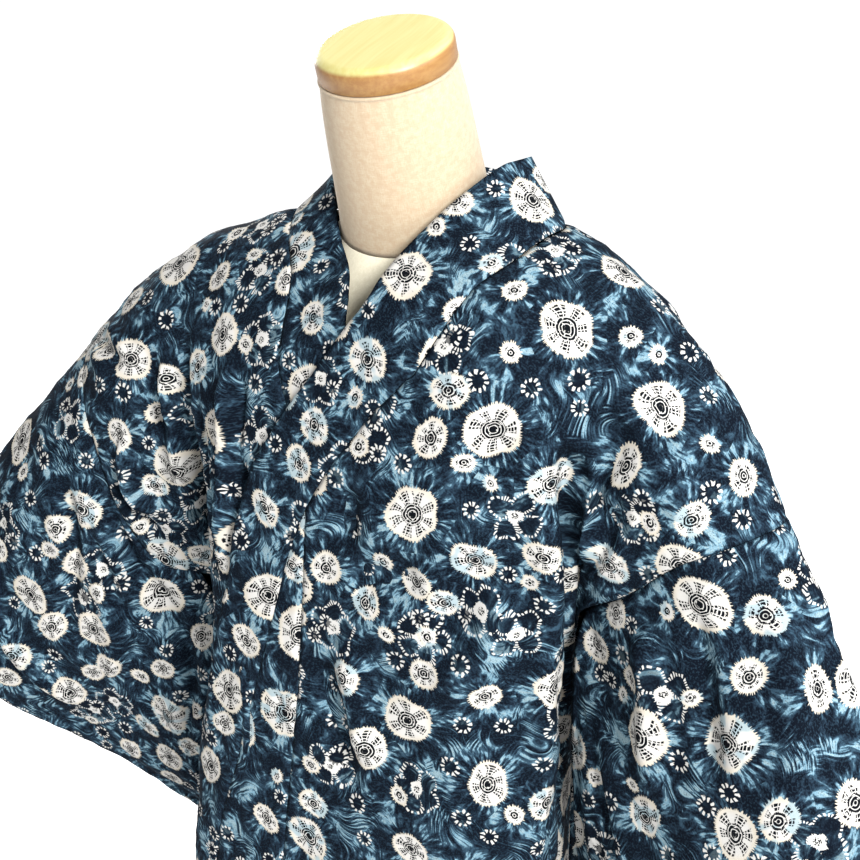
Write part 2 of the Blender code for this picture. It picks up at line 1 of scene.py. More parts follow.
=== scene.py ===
"""Looks of the cotton yukata robe and its dress form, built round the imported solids.

Metres, +Z up, the wearer's front towards -Y and the wearer's left towards +X. Each cloth piece
repeats its solid's surface from the same drape at a finer pitch, adds creases, seams and hems to
it, and takes a dyed print worked out in flat cloth coordinates.
"""

from math import cos, pi, radians, sin, sqrt

import bpy
import numpy as np
from mathutils import Matrix, Vector


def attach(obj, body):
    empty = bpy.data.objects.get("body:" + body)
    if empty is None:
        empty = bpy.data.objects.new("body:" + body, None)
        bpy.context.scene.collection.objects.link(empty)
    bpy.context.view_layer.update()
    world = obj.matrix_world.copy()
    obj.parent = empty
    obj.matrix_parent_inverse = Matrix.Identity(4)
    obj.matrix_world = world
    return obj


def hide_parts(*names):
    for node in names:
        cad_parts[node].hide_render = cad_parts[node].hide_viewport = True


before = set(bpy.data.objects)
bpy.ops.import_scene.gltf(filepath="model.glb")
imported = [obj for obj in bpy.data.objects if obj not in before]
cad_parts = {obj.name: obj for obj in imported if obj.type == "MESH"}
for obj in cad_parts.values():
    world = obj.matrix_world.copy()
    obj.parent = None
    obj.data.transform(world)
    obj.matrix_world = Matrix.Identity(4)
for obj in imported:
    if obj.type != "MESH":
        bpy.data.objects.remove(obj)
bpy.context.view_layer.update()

LEFT, RIGHT = 1, -1
FRONT, BACK = 1, -1

# Walls and gaps, as in the solids but for the tighter seams
CLOTH_WALL = 0.0009
COLLAR_WALL = 0.0026
SEAM_GAP = 0.00012
SIDE_SEAM_GAP = 0.0012
LAYER = 0.0035
CORNER_LAYER = 0.004

# The cut
SEAM_ACROSS = 0.35
SIDE_ACROSS = 0.30
ARMHOLE_REACH = 0.21
ROBE_REACH = 1.32
COLLAR_WIDTH = 0.060
OVERLAP_TOP = 0.265
COLLAR_END = 0.70
COLLAR_SLANT = 0.02
COLLAR_TURN = 0.06  # the collar's rows swing square to it over this length from its end
NAPE_REACH = 0.082
NAPE_ALONG = 0.15
SLEEVE_WIDTH = 0.33
SLEEVE_DEPTH = 0.49
HAND_OPENING = 0.23
SLEEVE_EDGE = 0.006
SLEEVE_CROWN = {LEFT: 0.012, RIGHT: 0.003}
SLEEVE_BULGE = {FRONT: 0.018, BACK: 0.034}
CUFF_GAPE = 0.036  # how far the back of the hand opening stands behind its front
BODY_HEM = 0.020
SEAM_ABOVE_HEM = 0.03  # the side seam's dip stops this far above the hem
FREE_HEM = 0.012

# How a section of the hanging body lies against its sizes
BELLY = 0.001  # further off halfway along the flat stretch
FLAT_END_IN = 0.005
FLANK_SHARE = 0.42  # of the corner's depth, halfway from it to the side seam
PAST_SEAM = (0.004, -0.02)  # where the last thread lies, seen from the side seam

# Stretches over which one form passes into the next, across the cloth or down it
LAYER_CLOSES = (0.10, 0.19)
CORNER_LIFTS = (0.10, 0.15)
LAYER_OPENS = (0.05, 0.13)
SIDE_NARROWS = (ARMHOLE_REACH, 0.34)
SIDE_CLOSES = (0.36, 0.44)
SIDE_BLEND = (0, 0.035)
STAND_FALLS = (0.07, 0.15)  # in front of the second reach the collar lies on the drape
COLLAR_LIES = (0.05, 0.15)
CREASES_START = (-0.002, 0.016)
CROWN_FALLS = (0.0, 0.2)
CUFF_OPENS = (0.0, 0.05)
BOTTOM_OPENS = (0.43, SLEEVE_DEPTH)
SEWN_BOTTOM = (0, 0.02)
TINY = 1e-6  # tells equal reaches apart

# Threads of the net: distance across the cloth from the centre line
THREADS = np.array((0.0, 0.06, 0.12, 0.18, 0.24, 0.30, 0.35))
CORNER_THREAD = 0.18


def metres(*rows):
    """A table written in millimetres, in metres."""
    return np.array(rows) / 1000


# Sections of the upper robe in millimetres, each side in its own right: reach, then (x, y, z) at
# each thread with x away from the centre line. The centre line is the left side's first thread, so
# the right side starts from its second.
UPPER = {LEFT: (
    (0, (0, 0, 1358), (65, 0, 1351), (130, -2, 1330), (186, -8, 1300), (236, -16, 1260),
     (279, -27, 1212), (306, -38, 1172)),
    (85, (0, -78, 1320), (55, -80, 1320), (120, -78, 1306), (171, -75, 1274), (205, -80, 1235),
     (239, -88, 1193), (261, -89, 1152)),
    (165, (0, -110, 1244), (56, -114, 1246), (116, -112, 1236), (165, -94, 1205), (189, -80, 1166),
     (205, -84, 1132), (212, -76, 1108)),
    (235, (0, -122, 1172), (58, -125, 1178), (118, -118, 1168), (173, -92, 1135), (167, -60, 1100),
     (163, -50, 1080), (168, -50, 1070)),
    (-85, (0, 82, 1312), (55, 82, 1314), (120, 76, 1302), (174, 66, 1270), (208, 48, 1232),
     (240, 38, 1190), (262, 30, 1150)),
    (-165, (0, 118, 1244), (56, 118, 1244), (116, 113, 1234), (166, 94, 1204), (190, 64, 1165),
     (205, 50, 1131), (212, 40, 1108)),
    (-235, (0, 127, 1176), (58, 126, 1176), (119, 119, 1167), (173, 92, 1130), (162, 56, 1096),
     (158, 44, 1078), (168, 46, 1068)),
), RIGHT: (
    (0, (65, 0, 1338), (128, -2, 1318), (186, -8, 1296), (236, -14, 1264), (271, -24, 1230),
     (300, -32, 1196)),
    (85, (55, -76, 1294), (113, -71, 1281), (156, -70, 1258), (200, -78, 1222), (236, -88, 1178),
     (263, -86, 1142)),
    (165, (56, -110, 1227), (108, -105, 1213), (144, -90, 1190), (170, -74, 1152), (212, -84, 1108),
     (247, -79, 1075)),
    (235, (57, -120, 1162), (106, -112, 1150), (138, -87, 1118), (148, -42, 1078), (172, -42, 1035),
     (212, -54, 1008)),
    (-85, (55, 79, 1302), (116, 71, 1288), (168, 63, 1263), (206, 47, 1228), (238, 37, 1186),
     (262, 30, 1146)),
    (-165, (56, 116, 1236), (114, 110, 1222), (163, 90, 1194), (190, 62, 1152), (216, 48, 1112),
     (246, 40, 1080)),
    (-235, (58, 125, 1168), (117, 117, 1156), (166, 90, 1120), (170, 66, 1080), (186, 50, 1040),
     (212, 46, 1010)),
)}

# Sections of the hanging body: reach, height at the centre and at the side, where it lies, and how
# far inward the front's corner on the right is drawn
HANG = metres(
    # reach, centre_z, side_z, flat_x, corner_x, side_x, front_y, front_corner, back_y,
    # back_corner, inward
    (390, 1022, 965, 118, 168, 147, 127, 93, 122, 88, 36),
    (620, 796, 745, 122, 172, 152, 130, 96, 122, 88, 22),
    (970, 448, 410, 132, 188, 170, 140, 104, 128, 94, 6),
    (1320, 100, 66, 142, 202, 186, 152, 114, 138, 102, 0),
)

# Front neckline and front edges: reach, distance across on the left and on the right
NECKLINE = metres(
    (0, 108, 100), (45, 107, 86), (85, 100, 68), (150, 77, 58), (200, 36, 40), (240, 2, 14),
    (265, -14, -6),
)
OVERLAP_SEAM = metres(
    (265, -14, -6), (390, -24, -22), (620, -45, -45), (1320, -55, -55),
)
COLLAR_SEAM = metres(
    (265, -14, -6), (340, -47, -40), (450, -85, -80), (570, -118, -115), (700, -137, -137),
    (1320, -145, -145),
)

# Free edge of the collar round the neck: along the seam from the shoulder fold, then (x, y, z)
COLLAR_STAND = {LEFT: metres(
    (150, 15, -92, 1293), (120, 26, -80, 1311), (85, 39, -64, 1332), (45, 58, -38, 1358),
    (0, 77, -4, 1378), (-30, 78, 24, 1378), (-60, 61, 56, 1369), (-100, 36, 98, 1355),
    (-150, 0, 120, 1346),
), RIGHT: metres(
    (150, -2, -92, 1276), (120, 12, -74, 1292), (85, 28, -57, 1311), (45, 50, -33, 1333),
    (0, 71, -6, 1354), (-30, 76, 20, 1362), (-60, 61, 56, 1364), (-100, 36, 98, 1355),
    (-150, 0, 120, 1346),
)}

# Sleeve edges: depth below the fold, then (x, y, z) of the wearer's own side
HANGING_EDGE = {(LEFT, FRONT): metres(
    (235, 172.5, -63, 1052), (280, 172, -62, 1006), (360, 174, -56, 928), (430, 177, -46, 862),
    (490, 190, -16, 812),
), (LEFT, BACK): metres(
    (280, 188, 48, 1006), (360, 192, 42, 928), (430, 192, 22, 862), (490, 190, -16, 812),
), (RIGHT, FRONT): metres(
    (240, 204, -51, 1028), (258, 184, -38, 998), (280, 172, -31, 945), (360, 176, -34, 862),
    (430, 184, -34, 790), (490, 192, -30, 722),
), (RIGHT, BACK): metres(
    (280, 202, 44, 942), (360, 199, 30, 862), (430, 196, -2, 790), (490, 192, -30, 722),
)}
CUFF_EDGE = {LEFT: metres(
    (0, 448, -90, 882), (70, 425, -112, 822), (150, 395, -112, 750), (230, 367, -92, 680),
    (360, 328, -45, 575), (430, 313, -15, 533), (490, 302, 5, 502),
), RIGHT: metres(
    (0, 525, -85, 925), (70, 475, -95, 878), (150, 412, -78, 836), (230, 350, -40, 798),
    (360, 252, 10, 728), (430, 228, 60, 676), (490, 218, 100, 622),
)}


def hermite(knots, values, slopes, at, own=False):
    """Smooth curve through values at knots. With own, each place has its own column of values."""
    span = np.clip(np.searchsorted(knots, at, side="right") - 1, 0, len(knots) - 2)
    step = knots[span + 1] - knots[span]
    u = (at - knots[span]) / step
    column = (np.arange(len(at)),) if own else ()
    spread = (slice(None),) + (None,) * (values.ndim - 1 - len(column))
    u, step = u[spread], step[spread]
    start, end = values[(span, *column)], values[(span + 1, *column)]
    leave, arrive = slopes[(span, *column)], slopes[(span + 1, *column)]
    return ((2 * u**3 - 3 * u**2 + 1) * start + (u**3 - 2 * u**2 + u) * step * leave
            + (3 * u**2 - 2 * u**3) * end + (u**3 - u**2) * step * arrive)


def steady_slopes(knots, values):
    """Slopes that keep a curve between its knots from swinging past them."""
    rates = np.diff(values, axis=0) / np.diff(knots).reshape(-1, *[1] * (values.ndim - 1))
    before, after = rates[:-1], rates[1:]
    same_way = before * after > 0
    total = np.where(same_way, before + after, 1)
    middle = np.where(same_way, 2 * before * after / total, 0)
    return np.concatenate((rates[:1], middle, rates[-1:]))


def curve(rows, at):
    """Smooth curve through a table whose first column is the knot."""
    table = np.array(sorted(map(tuple, rows)), float)
    knots, values = table[:, 0], table[:, 1:]
    return hermite(knots, values, steady_slopes(knots, values), at)


def smooth_step(low, high, at):
    u = np.clip((at - low) / (high - low), 0, 1)
    return u * u * (3 - 2 * u)


def hanging_section(side, row, facing):
    """One section of the hanging body, thread by thread, with x away from the centre line."""
    _, centre_z, side_z, flat, corner, flank, *depths, inward = row
    depth, corner_depth = depths[:2] if facing == FRONT else depths[2:]
    x, y = np.array(((0, depth), (flat / 2, depth + BELLY), (flat, depth - FLAT_END_IN),
                     (corner, corner_depth), ((corner + flank) / 2, corner_depth * FLANK_SHARE),
                     (flank, SIDE_SEAM_GAP / 2), (flank + PAST_SEAM[0], PAST_SEAM[1]))).T
    if side == RIGHT and facing == FRONT:
        x = x - inward * np.maximum(0, 1 - np.abs(THREADS - CORNER_THREAD) / CORNER_THREAD)
    z = centre_z + (side_z - centre_z) * np.minimum(THREADS / SIDE_ACROSS, 1) ** 2
    return np.column_stack((x, -facing * y, z))


def drape_net():
    """(reaches, points): sections from the back hem over the shoulder to the front hem."""
    halves = {}
    for side in (LEFT, RIGHT):
        halves[side] = {reach / 1000: metres(*points) for reach, *points in UPPER[side]}
        for facing in (FRONT, BACK):
            halves[side].update({facing * row[0]: hanging_section(side, row, facing)
                                 for row in HANG})
    reaches = sorted(halves[LEFT])
    own = len(THREADS) - 1
    rows = [np.concatenate((halves[RIGHT][reach][-own:][::-1] * (-1, 1, 1), halves[LEFT][reach]))
            for reach in reaches]
    return np.array(reaches), np.array(rows)


ACROSS = np.concatenate((-THREADS[:0:-1], THREADS))
REACHES, NET = drape_net()
NET_DOWN = steady_slopes(REACHES, NET)


def drape(across, reach):
    """Points of the drape at places across (positive to the wearer's left) and reaches."""
    across, reach = np.broadcast_arrays(across, reach)
    shape = across.shape
    lines = hermite(REACHES, NET, NET_DOWN, reach.ravel()).swapaxes(0, 1)
    slopes = np.gradient(lines, ACROSS, axis=0)
    return hermite(ACROSS, lines, slopes, across.ravel(), own=True).reshape(*shape, 3)


def unit(vectors):
    return vectors / np.maximum(np.linalg.norm(vectors, axis=-1, keepdims=True), 1e-12)


def outward(across, reach, step=0.004):
    """Outward normal of the drape."""
    down = drape(across, reach + step) - drape(across, reach - step)
    over = drape(across + step, reach) - drape(across - step, reach)
    return unit(np.cross(down, over))


def front_points(side, own_across, reach):
    """Points of one front or back, with the left front laid over the right where they overlap."""
    own_across, reach = np.broadcast_arrays(own_across, reach)
    layer = LAYER * (1 - smooth_step(*LAYER_CLOSES, own_across))
    layer = layer + CORNER_LAYER * smooth_step(*CORNER_LIFTS, -own_across)
    layer = side * (layer * smooth_step(*LAYER_OPENS, reach))
    across = side * own_across
    return drape(across, reach) + layer[..., None] * outward(across, reach)


def own_column(rows, side, at):
    """The side's own column of a table: the second one is the left, the last one the right."""
    return curve(rows[:, (0, side)], at)[:, 0]


def front_seam(seam, side, reach):
    """Distance across of a seam of the front, which starts from the neckline."""
    neck = own_column(NECKLINE, side, np.clip(reach, 0, OVERLAP_TOP))
    below = own_column(seam, side, np.clip(reach, OVERLAP_TOP, ROBE_REACH))
    return np.where(reach < OVERLAP_TOP, neck, below)


def inner_edge(side, reach):
    """A body panel's inner edge: neckline and overlap seam, or behind, neck and centre seam."""
    round_nape = np.sqrt(np.clip(1 - (np.clip(reach, -NAPE_REACH, 0) / NAPE_REACH) ** 2, 0, 1))
    nape = NECKLINE[0, side] * round_nape
    return np.where(reach < 0, nape, front_seam(OVERLAP_SEAM, side, reach)) + SEAM_GAP


def outer_edge(reach):
    """Outer edge of a body panel: the sleeve seam, then in to the side seam."""
    narrowed = smooth_step(*SIDE_NARROWS, np.abs(reach))
    return SEAM_ACROSS - SEAM_GAP + (SIDE_ACROSS - SEAM_ACROSS) * narrowed


# Pitch of the fine meshes
FINE = 0.0045  # rows in front, down to the knees
PLAIN = 0.008  # rows elsewhere
KNEES = 0.80
NAPE_ROWS = 22
NAPE_JOIN = 0.003  # the back's rows stop this far below the nape's
BODY_COLUMNS = 84
OVERLAP_COLUMNS = 36
COLLAR_COLUMNS = 17
SLEEVE_COLUMNS = 80
FLATTEN_PITCH = 5  # every so many rows and columns are unwrapped


def pitched(start, end, pitch, closed=False):
    """Even steps from start towards end, with end itself among them only when closed."""
    count = max(int(round((end - start) / pitch)), 1)
    return np.linspace(start, end, count + closed, endpoint=closed)


def panel_places(inner, outer, levels, columns):
    """(across, reach) of each point of a panel between its edges, across towards its own side."""
    across = inner[:, None] + (outer - inner)[:, None] * np.linspace(0, 1, columns)
    return across, np.broadcast_to(levels[:, None], across.shape)


def body_places(side):
    nape = NAPE_REACH * np.sin(np.linspace(-pi / 2, 0, NAPE_ROWS, endpoint=False))
    back = pitched(-ROBE_REACH, -NAPE_REACH - NAPE_JOIN, PLAIN)
    skirt = pitched(KNEES, ROBE_REACH, PLAIN, closed=True)
    levels = np.concatenate((back, nape, pitched(0, KNEES, FINE), skirt))
    return panel_places(inner_edge(side, levels), outer_edge(levels), levels, BODY_COLUMNS)


def overlap_places(side):
    """Rows of an overlap panel: beside the collar, across its slanted end, then the full width."""
    beside = pitched(OVERLAP_TOP + FINE, COLLAR_END, FINE)
    end_share = np.linspace(0, 1, COLLAR_COLUMNS)
    below = pitched(COLLAR_END + COLLAR_SLANT + FINE, ROBE_REACH, PLAIN, closed=True)
    levels = np.concatenate((beside, COLLAR_END + COLLAR_SLANT * end_share, below))
    width = np.concatenate((np.zeros(len(beside)), end_share, np.ones(len(below)))) * COLLAR_WIDTH
    seam = own_column(OVERLAP_SEAM, side, levels) - SEAM_GAP
    edge = front_seam(COLLAR_SEAM, side, levels) - width + SEAM_GAP * (width == 0)
    return panel_places(seam, edge, levels, OVERLAP_COLUMNS)


def collar_half(side):
    """(grid, across, reach) of half the collar: rows along it from its lower end up to the nape."""
    along = np.concatenate((np.arange(COLLAR_END, 0, -FINE), np.arange(0, -NAPE_ALONG, -FINE),
                            (-NAPE_ALONG,)))
    seam = front_seam(COLLAR_SEAM, side, along)
    turn = pi / 2 * np.clip(-along / NAPE_ALONG, 0, 1)
    reach = np.where(along < 0, SEAM_GAP - NAPE_REACH * np.sin(turn), along)
    across = np.where(along < 0, NECKLINE[0, side] * np.cos(turn), seam - SEAM_GAP)
    slant = np.where(along < 0, 0, np.gradient(across, reach + TINY * along))
    length = np.sqrt(1 + slant**2)
    share = np.linspace(0, 1, COLLAR_COLUMNS)
    to_end = smooth_step(COLLAR_END - COLLAR_TURN, COLLAR_END, along)
    up, over = COLLAR_WIDTH * slant / length, COLLAR_WIDTH / length
    up += (COLLAR_SLANT - up) * to_end
    over += (COLLAR_WIDTH - over) * to_end
    across = across[:, None] - over[:, None] * share
    reach = reach[:, None] + up[:, None] * share - SEAM_GAP * (along == COLLAR_END)[:, None]
    flat = front_points(side, across, reach)
    edge = curve(COLLAR_STAND[side], np.clip(along, -NAPE_ALONG, STAND_FALLS[1])) * (side, 1, 1)
    standing = flat[:, :1] + (edge[:, None] - flat[:, :1]) * share[:, None]
    weight = 1 - smooth_step(*STAND_FALLS, along)
    return flat + (standing - flat) * weight[:, None, None], across, reach


def sleeve_edges(side, facing, levels):
    """Edge of one layer at the body, and its edge at the cuff, with x away from the centre line."""
    mirror = (side, 1, 1)
    reach = facing * np.minimum(levels, ARMHOLE_REACH)
    top = drape(side * (SEAM_ACROSS + SEAM_GAP), reach) * mirror
    joint = (ARMHOLE_REACH, *drape(side * SEAM_ACROSS, facing * ARMHOLE_REACH) * mirror)
    hanging = curve((joint, *HANGING_EDGE[side, facing]), np.maximum(levels, ARMHOLE_REACH))
    cuff = curve(CUFF_EDGE[side], levels)
    if facing == BACK:
        cuff[:, 1] += CUFF_GAPE * np.sin(pi * np.clip(levels / HAND_OPENING, 0, 1))
    return np.array((np.where((levels <= ARMHOLE_REACH + TINY)[:, None], top, hanging), cuff))


def sleeve_grid(side):
    """(grid, depths): rows from the back's bottom edge over the fold to the front's bottom edge.

    Depth is negative on the back rows.
    """
    levels = pitched(0, SLEEVE_DEPTH, FINE, closed=True)
    share = np.linspace(0, 1, SLEEVE_COLUMNS)[:, None]
    edges = {facing: sleeve_edges(side, facing, levels) for facing in (FRONT, BACK)}
    inner_middle, cuff_middle = (edges[FRONT] + edges[BACK]) / 2
    down = np.gradient(inner_middle + cuff_middle, axis=0)
    through = unit(np.cross(cuff_middle - inner_middle, down))
    middle = np.sin(pi * share)
    level = levels[:, None, None]
    belly = np.sin(pi * np.clip(level / SLEEVE_DEPTH, 0, 1))
    crown = SLEEVE_CROWN[side] * (1 - smooth_step(*CROWN_FALLS, level))
    split = (smooth_step(*BOTTOM_OPENS, level) * (1 - share)
             + smooth_step(*CUFF_OPENS, level) * share)
    layers = {}
    for facing, (inner, cuff) in edges.items():
        offset = SLEEVE_EDGE / 2 * split + SLEEVE_BULGE[facing] * belly * middle
        grid = inner[:, None] + (cuff - inner)[:, None] * share - facing * offset * through[:, None]
        layers[facing] = (grid + crown * middle * np.array((1, 0, 1))) * (side, 1, 1)
    grid = np.concatenate((layers[BACK][:0:-1], layers[FRONT]))
    return grid, np.concatenate((-levels[:0:-1], levels))


# ---------- creases

# Uneven wrinkles: height, length, how far they are drawn out down the cloth, seed
BODY_WRINKLES = ((0.0015, 0.05, 0.5, 11), (0.0006, 0.018, 1, 21))
SLEEVE_WRINKLES = ((0.0017, 0.06, 0.5, 31), (0.0005, 0.018, 1, 41))
CREASE_HOLLOW = 0.35  # depth of the shallow hollows beside a crease, as a share of its height
CREASE_HOLLOW_WIDTH = 2.4
CREASE_END = 0.25  # share of its length over which a crease dies out


def ripple(u, v, length, seed, waves=28):
    """Smooth uneven waves about length long, mostly between -1 and 1."""
    draw = np.random.default_rng(seed)
    total = 0
    for turn, phase, size in draw.uniform((0, 0, 0.7), (2 * pi, 2 * pi, 1.5), (waves, 3)):
        total = total + np.cos(2 * pi * size / length * (u * cos(turn) + v * sin(turn)) + phase)
    return total * sqrt(2 / waves) / 2


def distance_to(u, v, line, steps=24):
    """(distance, share along) of each place from a smooth line through a few places."""
    knots = np.linspace(0, 1, len(line))
    path = hermite(knots, line, np.gradient(line, knots, axis=0), np.linspace(0, 1, steps))
    best = np.full(u.shape, np.inf)
    share = np.zeros(u.shape)
    for i in range(steps - 1):
        start, step = path[i], path[i + 1] - path[i]
        t = np.clip(((u - start[0]) * step[0] + (v - start[1]) * step[1]) / (step @ step), 0, 1)
        gap = np.hypot(u - start[0] - t * step[0], v - start[1] - t * step[1])
        near = gap < best
        best = np.where(near, gap, best)
        share = np.where(near, (i + t) / (steps - 1), share)
    return best, share


def creased(u, v, creases, wrinkles, side):
    """Height of the creases, which fade out towards both their ends, and of the wrinkles."""
    height = np.zeros(u.shape)
    for top, width, *line in creases:
        gap, share = distance_to(u, v, metres(*line))
        gap *= 1000
        ends = smooth_step(0, CREASE_END, share) * (1 - smooth_step(1 - CREASE_END, 1, share))
        ridge = (1 + CREASE_HOLLOW) * np.exp(-((gap / width) ** 2))
        ridge -= CREASE_HOLLOW * np.exp(-((gap / (CREASE_HOLLOW_WIDTH * width)) ** 2))
        height += top / 1000 * ridge * ends
    for top, length, drawn, seed in wrinkles:
        height += top * ripple(u, v * drawn, length, seed + side)
    return height


def dip(distance, depth=0.0013, width=0.0028):
    """How far cloth dips towards a sewn seam."""
    return -depth * np.exp(-((distance / width) ** 2))


def hem_line(distance, fold=FREE_HEM, edge=0.0004, half_step=0.001):
    """A turned hem: the edge a little thicker up to its fold, and a faint stitched line there."""
    thicker = edge * (1 - smooth_step(fold - half_step, fold + half_step, distance))
    return thicker + dip(distance - fold, 0.0005, 0.0012)


# Main creases, in millimetres: height (a trough is below 0) and half width, then
# places along the crease, across and down the cloth. Behind the shoulder fold, down is below 0.
BODY_CREASES = {RIGHT: (
    (-17, 12, (198, 100), (203, 155), (232, 190), (268, 215), (305, 240)),
    (-10, 9, (178, 170), (160, 216), (157, 270), (166, 340)),
    (13.5, 9, (115, 144), (106, 202), (110, 270), (136, 351)),
    (13.5, 9, (223, 103), (242, 139), (257, 171), (283, 193)),
    (-7, 7, (270, 126), (259, 144), (247, 162)),
    (-10, 9, (336, 130), (333, 171), (331, 189), (328, 211)),
    (11.5, 9, (301, 126), (312, 162), (315, 193)),
    (-6, 4, (94, 162), (93, 198), (97, 234)),
    (-10, 5, (93, 234), (82, 256), (72, 279)),
    (7, 4, (74, 234), (62, 261)),
    (-8, 5, (57, 333), (41, 346), (24, 355)),
    (4, 7, (337, 27), (289, 76)),
    (-4, 7, (316, 31), (272, 81)),
    (4, 7, (300, 31), (259, 81)),
    (8, 10, (98, 391), (89, 463), (94, 562)),
    (-8, 12, (130, 520), (122, 700), (128, 930)),
    (11.5, 13, (85, 660), (80, 880), (88, 1150), (86, 1290)),
    (-8, 12, (40, 720), (46, 950), (42, 1270)),
    (9.5, 14, (165, 800), (160, 1020), (163, 1280)),
    (10, 13, (85, -190), (90, -330), (80, -550)),
    (-13.5, 11, (205, -130), (180, -220), (176, -340)),
    (10, 10, (240, -100), (235, -180), (262, -260)),
    (-7.5, 12, (50, -420), (60, -660), (54, -920)),
    (8.5, 14, (150, -460), (142, -750), (150, -1050)),
    (7, 12, (95, -800), (88, -1020), (94, -1280)),
    (-6, 10, (205, -700), (212, -980), (206, -1260)),
    (4, 5, (322, -30), (280, -85)),
    (-4, 5, (298, -34), (262, -90)),
), LEFT: (
    (-8, 12, (0, 382), (5, 413), (21, 458), (28, 508)),
    (9.5, 12, (25, 364), (33, 413), (44, 467)),
    (-12, 12, (178, 172), (200, 160), (224, 148)),
    (-18, 15, (200, 140), (196, 193), (200, 235), (212, 290), (224, 350), (230, 620)),
    (8, 12, (172, 172), (164, 225), (170, 270), (174, 360), (176, 550)),
    (12, 12, (226, 152), (243, 176), (279, 185)),
    (-8, 14, (138, 261), (117, 301), (92, 342)),
    (9.5, 14, (149, 288), (131, 337), (101, 387)),
    (-10, 12, (21, 245), (24, 295)),
    (-8, 18, (21, 315), (53, 310), (87, 297)),
    (-8, 12, (228, 135), (257, 76), (268, 36)),
    (9.5, 12, (241, 153), (292, 94), (306, 49)),
    (-6, 14, (153, 157), (123, 207), (105, 234)),
    (11.5, 13, (110, 560), (118, 760), (112, 1000)),
    (-10, 12, (60, 700), (52, 920), (58, 1260)),
    (9.5, 12, (5, 620), (12, 900), (8, 1240)),
    (9.5, 13, (165, 840), (160, 1050), (166, 1290)),
    (10, 13, (80, -170), (88, -310), (78, -500)),
    (-13.5, 11, (198, -140), (178, -230), (174, -370)),
    (10, 10, (235, -110), (232, -190), (258, -270)),
    (-7.5, 13, (46, -480), (52, -700), (50, -980)),
    (8.5, 13, (138, -520), (148, -800), (140, -1120)),
    (-6, 11, (98, -760), (104, -1040), (100, -1290)),
    (7, 12, (200, -660), (194, -920), (201, -1220)),
    (4, 5, (318, -28), (276, -82)),
)}
SLEEVE_CREASES = {RIGHT: (
    (-10, 8, (4, 150), (20, 200), (54, 236), (90, 262)),
    (7, 7, (30, 150), (45, 195), (85, 225)),
    (-10, 12, (50, 90), (88, 157), (180, 180)),
    (9.5, 12, (58, 180), (121, 220), (209, 243)),
    (-8, 12, (33, 229), (88, 279), (159, 319)),
    (9.5, 13, (200, 60), (240, 140), (265, 240)),
    (-8, 12, (130, 340), (190, 380), (250, 420)),
    (-9, 12, (40, -110), (110, -180), (200, -210)),
    (8.5, 13, (60, -220), (130, -270), (230, -290)),
    (-6, 12, (100, -340), (170, -380), (260, -400)),
    (7, 12, (210, -60), (255, -130), (280, -240)),
), LEFT: (
    (9.5, 14, (17, 153), (58, 162), (109, 193)),
    (-8, 12, (21, 94), (75, 112), (125, 130)),
    (9.5, 14, (21, 40), (88, 45), (155, 63)),
    (-8, 13, (40, 250), (110, 280), (190, 300)),
    (9.5, 14, (150, 180), (220, 230), (290, 300)),
    (-7.5, 13, (30, -100), (110, -130), (190, -160)),
    (8.5, 13, (20, -190), (100, -220), (200, -260)),
    (-6, 12, (60, -320), (150, -350), (250, -390)),
    (7, 13, (120, -50), (200, -70), (280, -110)),
)}


def drape_height(side, across, reach):
    """Creases and wrinkles of a front or back, in its own distance across, flat near its seams."""
    height = creased(across, reach, BODY_CREASES[side], BODY_WRINKLES, side)
    return height * smooth_step(*CREASES_START, outer_edge(reach) - across)


# ---------- meshes

def new_mesh(name, points, faces):
    mesh = bpy.data.meshes.new(name)
    mesh.from_pydata(points.reshape(-1, 3).tolist(), [], faces.tolist())
    return mesh


def in_scene(name, data):
    """A new object in the scene for a mesh, a light or a camera."""
    made = bpy.data.objects.new(name, data)
    bpy.context.scene.collection.objects.link(made)
    return made


def smooth_piece(name, mesh, uv):
    """A smooth piece, with uv holding the flat coordinates of each corner of each face."""
    mesh.uv_layers.new(name="UVMap").data.foreach_set("uv", uv.ravel())
    mesh.shade_smooth()
    return in_scene(name, mesh)


def quads(rows, columns):
    index = np.arange(rows * columns).reshape(rows, columns)
    corners = index[:-1, :-1], index[1:, :-1], index[1:, 1:], index[:-1, 1:]
    return np.stack(corners, -1).reshape(-1, 4)


def total_length(grid):
    """Length of all the lines of a grid together."""
    return sum(np.linalg.norm(np.diff(grid, axis=axis), axis=-1).sum() for axis in (0, 1))


def unwrapped(grid):
    """Flat coordinates of a grid of points, in metres. Its rows run down the flat cloth."""
    rows, columns = grid.shape[:2]
    mesh = new_mesh("pattern", grid, quads(rows, columns))
    pattern = in_scene("pattern", mesh)
    bpy.context.view_layer.objects.active = pattern
    pattern.select_set(True)
    mesh.uv_layers.new(name="UVMap")
    bpy.ops.object.mode_set(mode="EDIT")
    bpy.ops.mesh.select_all(action="SELECT")
    bpy.ops.uv.unwrap(method="ANGLE_BASED", margin=0)
    bpy.ops.object.mode_set(mode="OBJECT")
    corners = np.zeros(len(mesh.loops) * 2)
    mesh.uv_layers[0].data.foreach_get("uv", corners)
    owner = np.zeros(len(mesh.loops), int)
    mesh.loops.foreach_get("vertex_index", owner)
    flat = np.zeros((rows * columns, 2))
    flat[owner] = corners.reshape(-1, 2)
    flat = flat.reshape(rows, columns, 2)
    bpy.data.objects.remove(pattern)
    bpy.data.meshes.remove(mesh)
    down = (flat[-1] - flat[0]).mean(axis=0)
    down /= np.hypot(*down)
    turn = np.array(((-down[1], down[0]), (-down[0], -down[1])))
    return (flat @ turn.T) * total_length(grid) / total_length(flat)


def between(values, places, size):
    """Values at a few places along the first axis, carried smoothly to every place."""
    knots = np.array(places, float)
    return hermite(knots, values, np.gradient(values, knots, axis=0), np.arange(size, dtype=float))


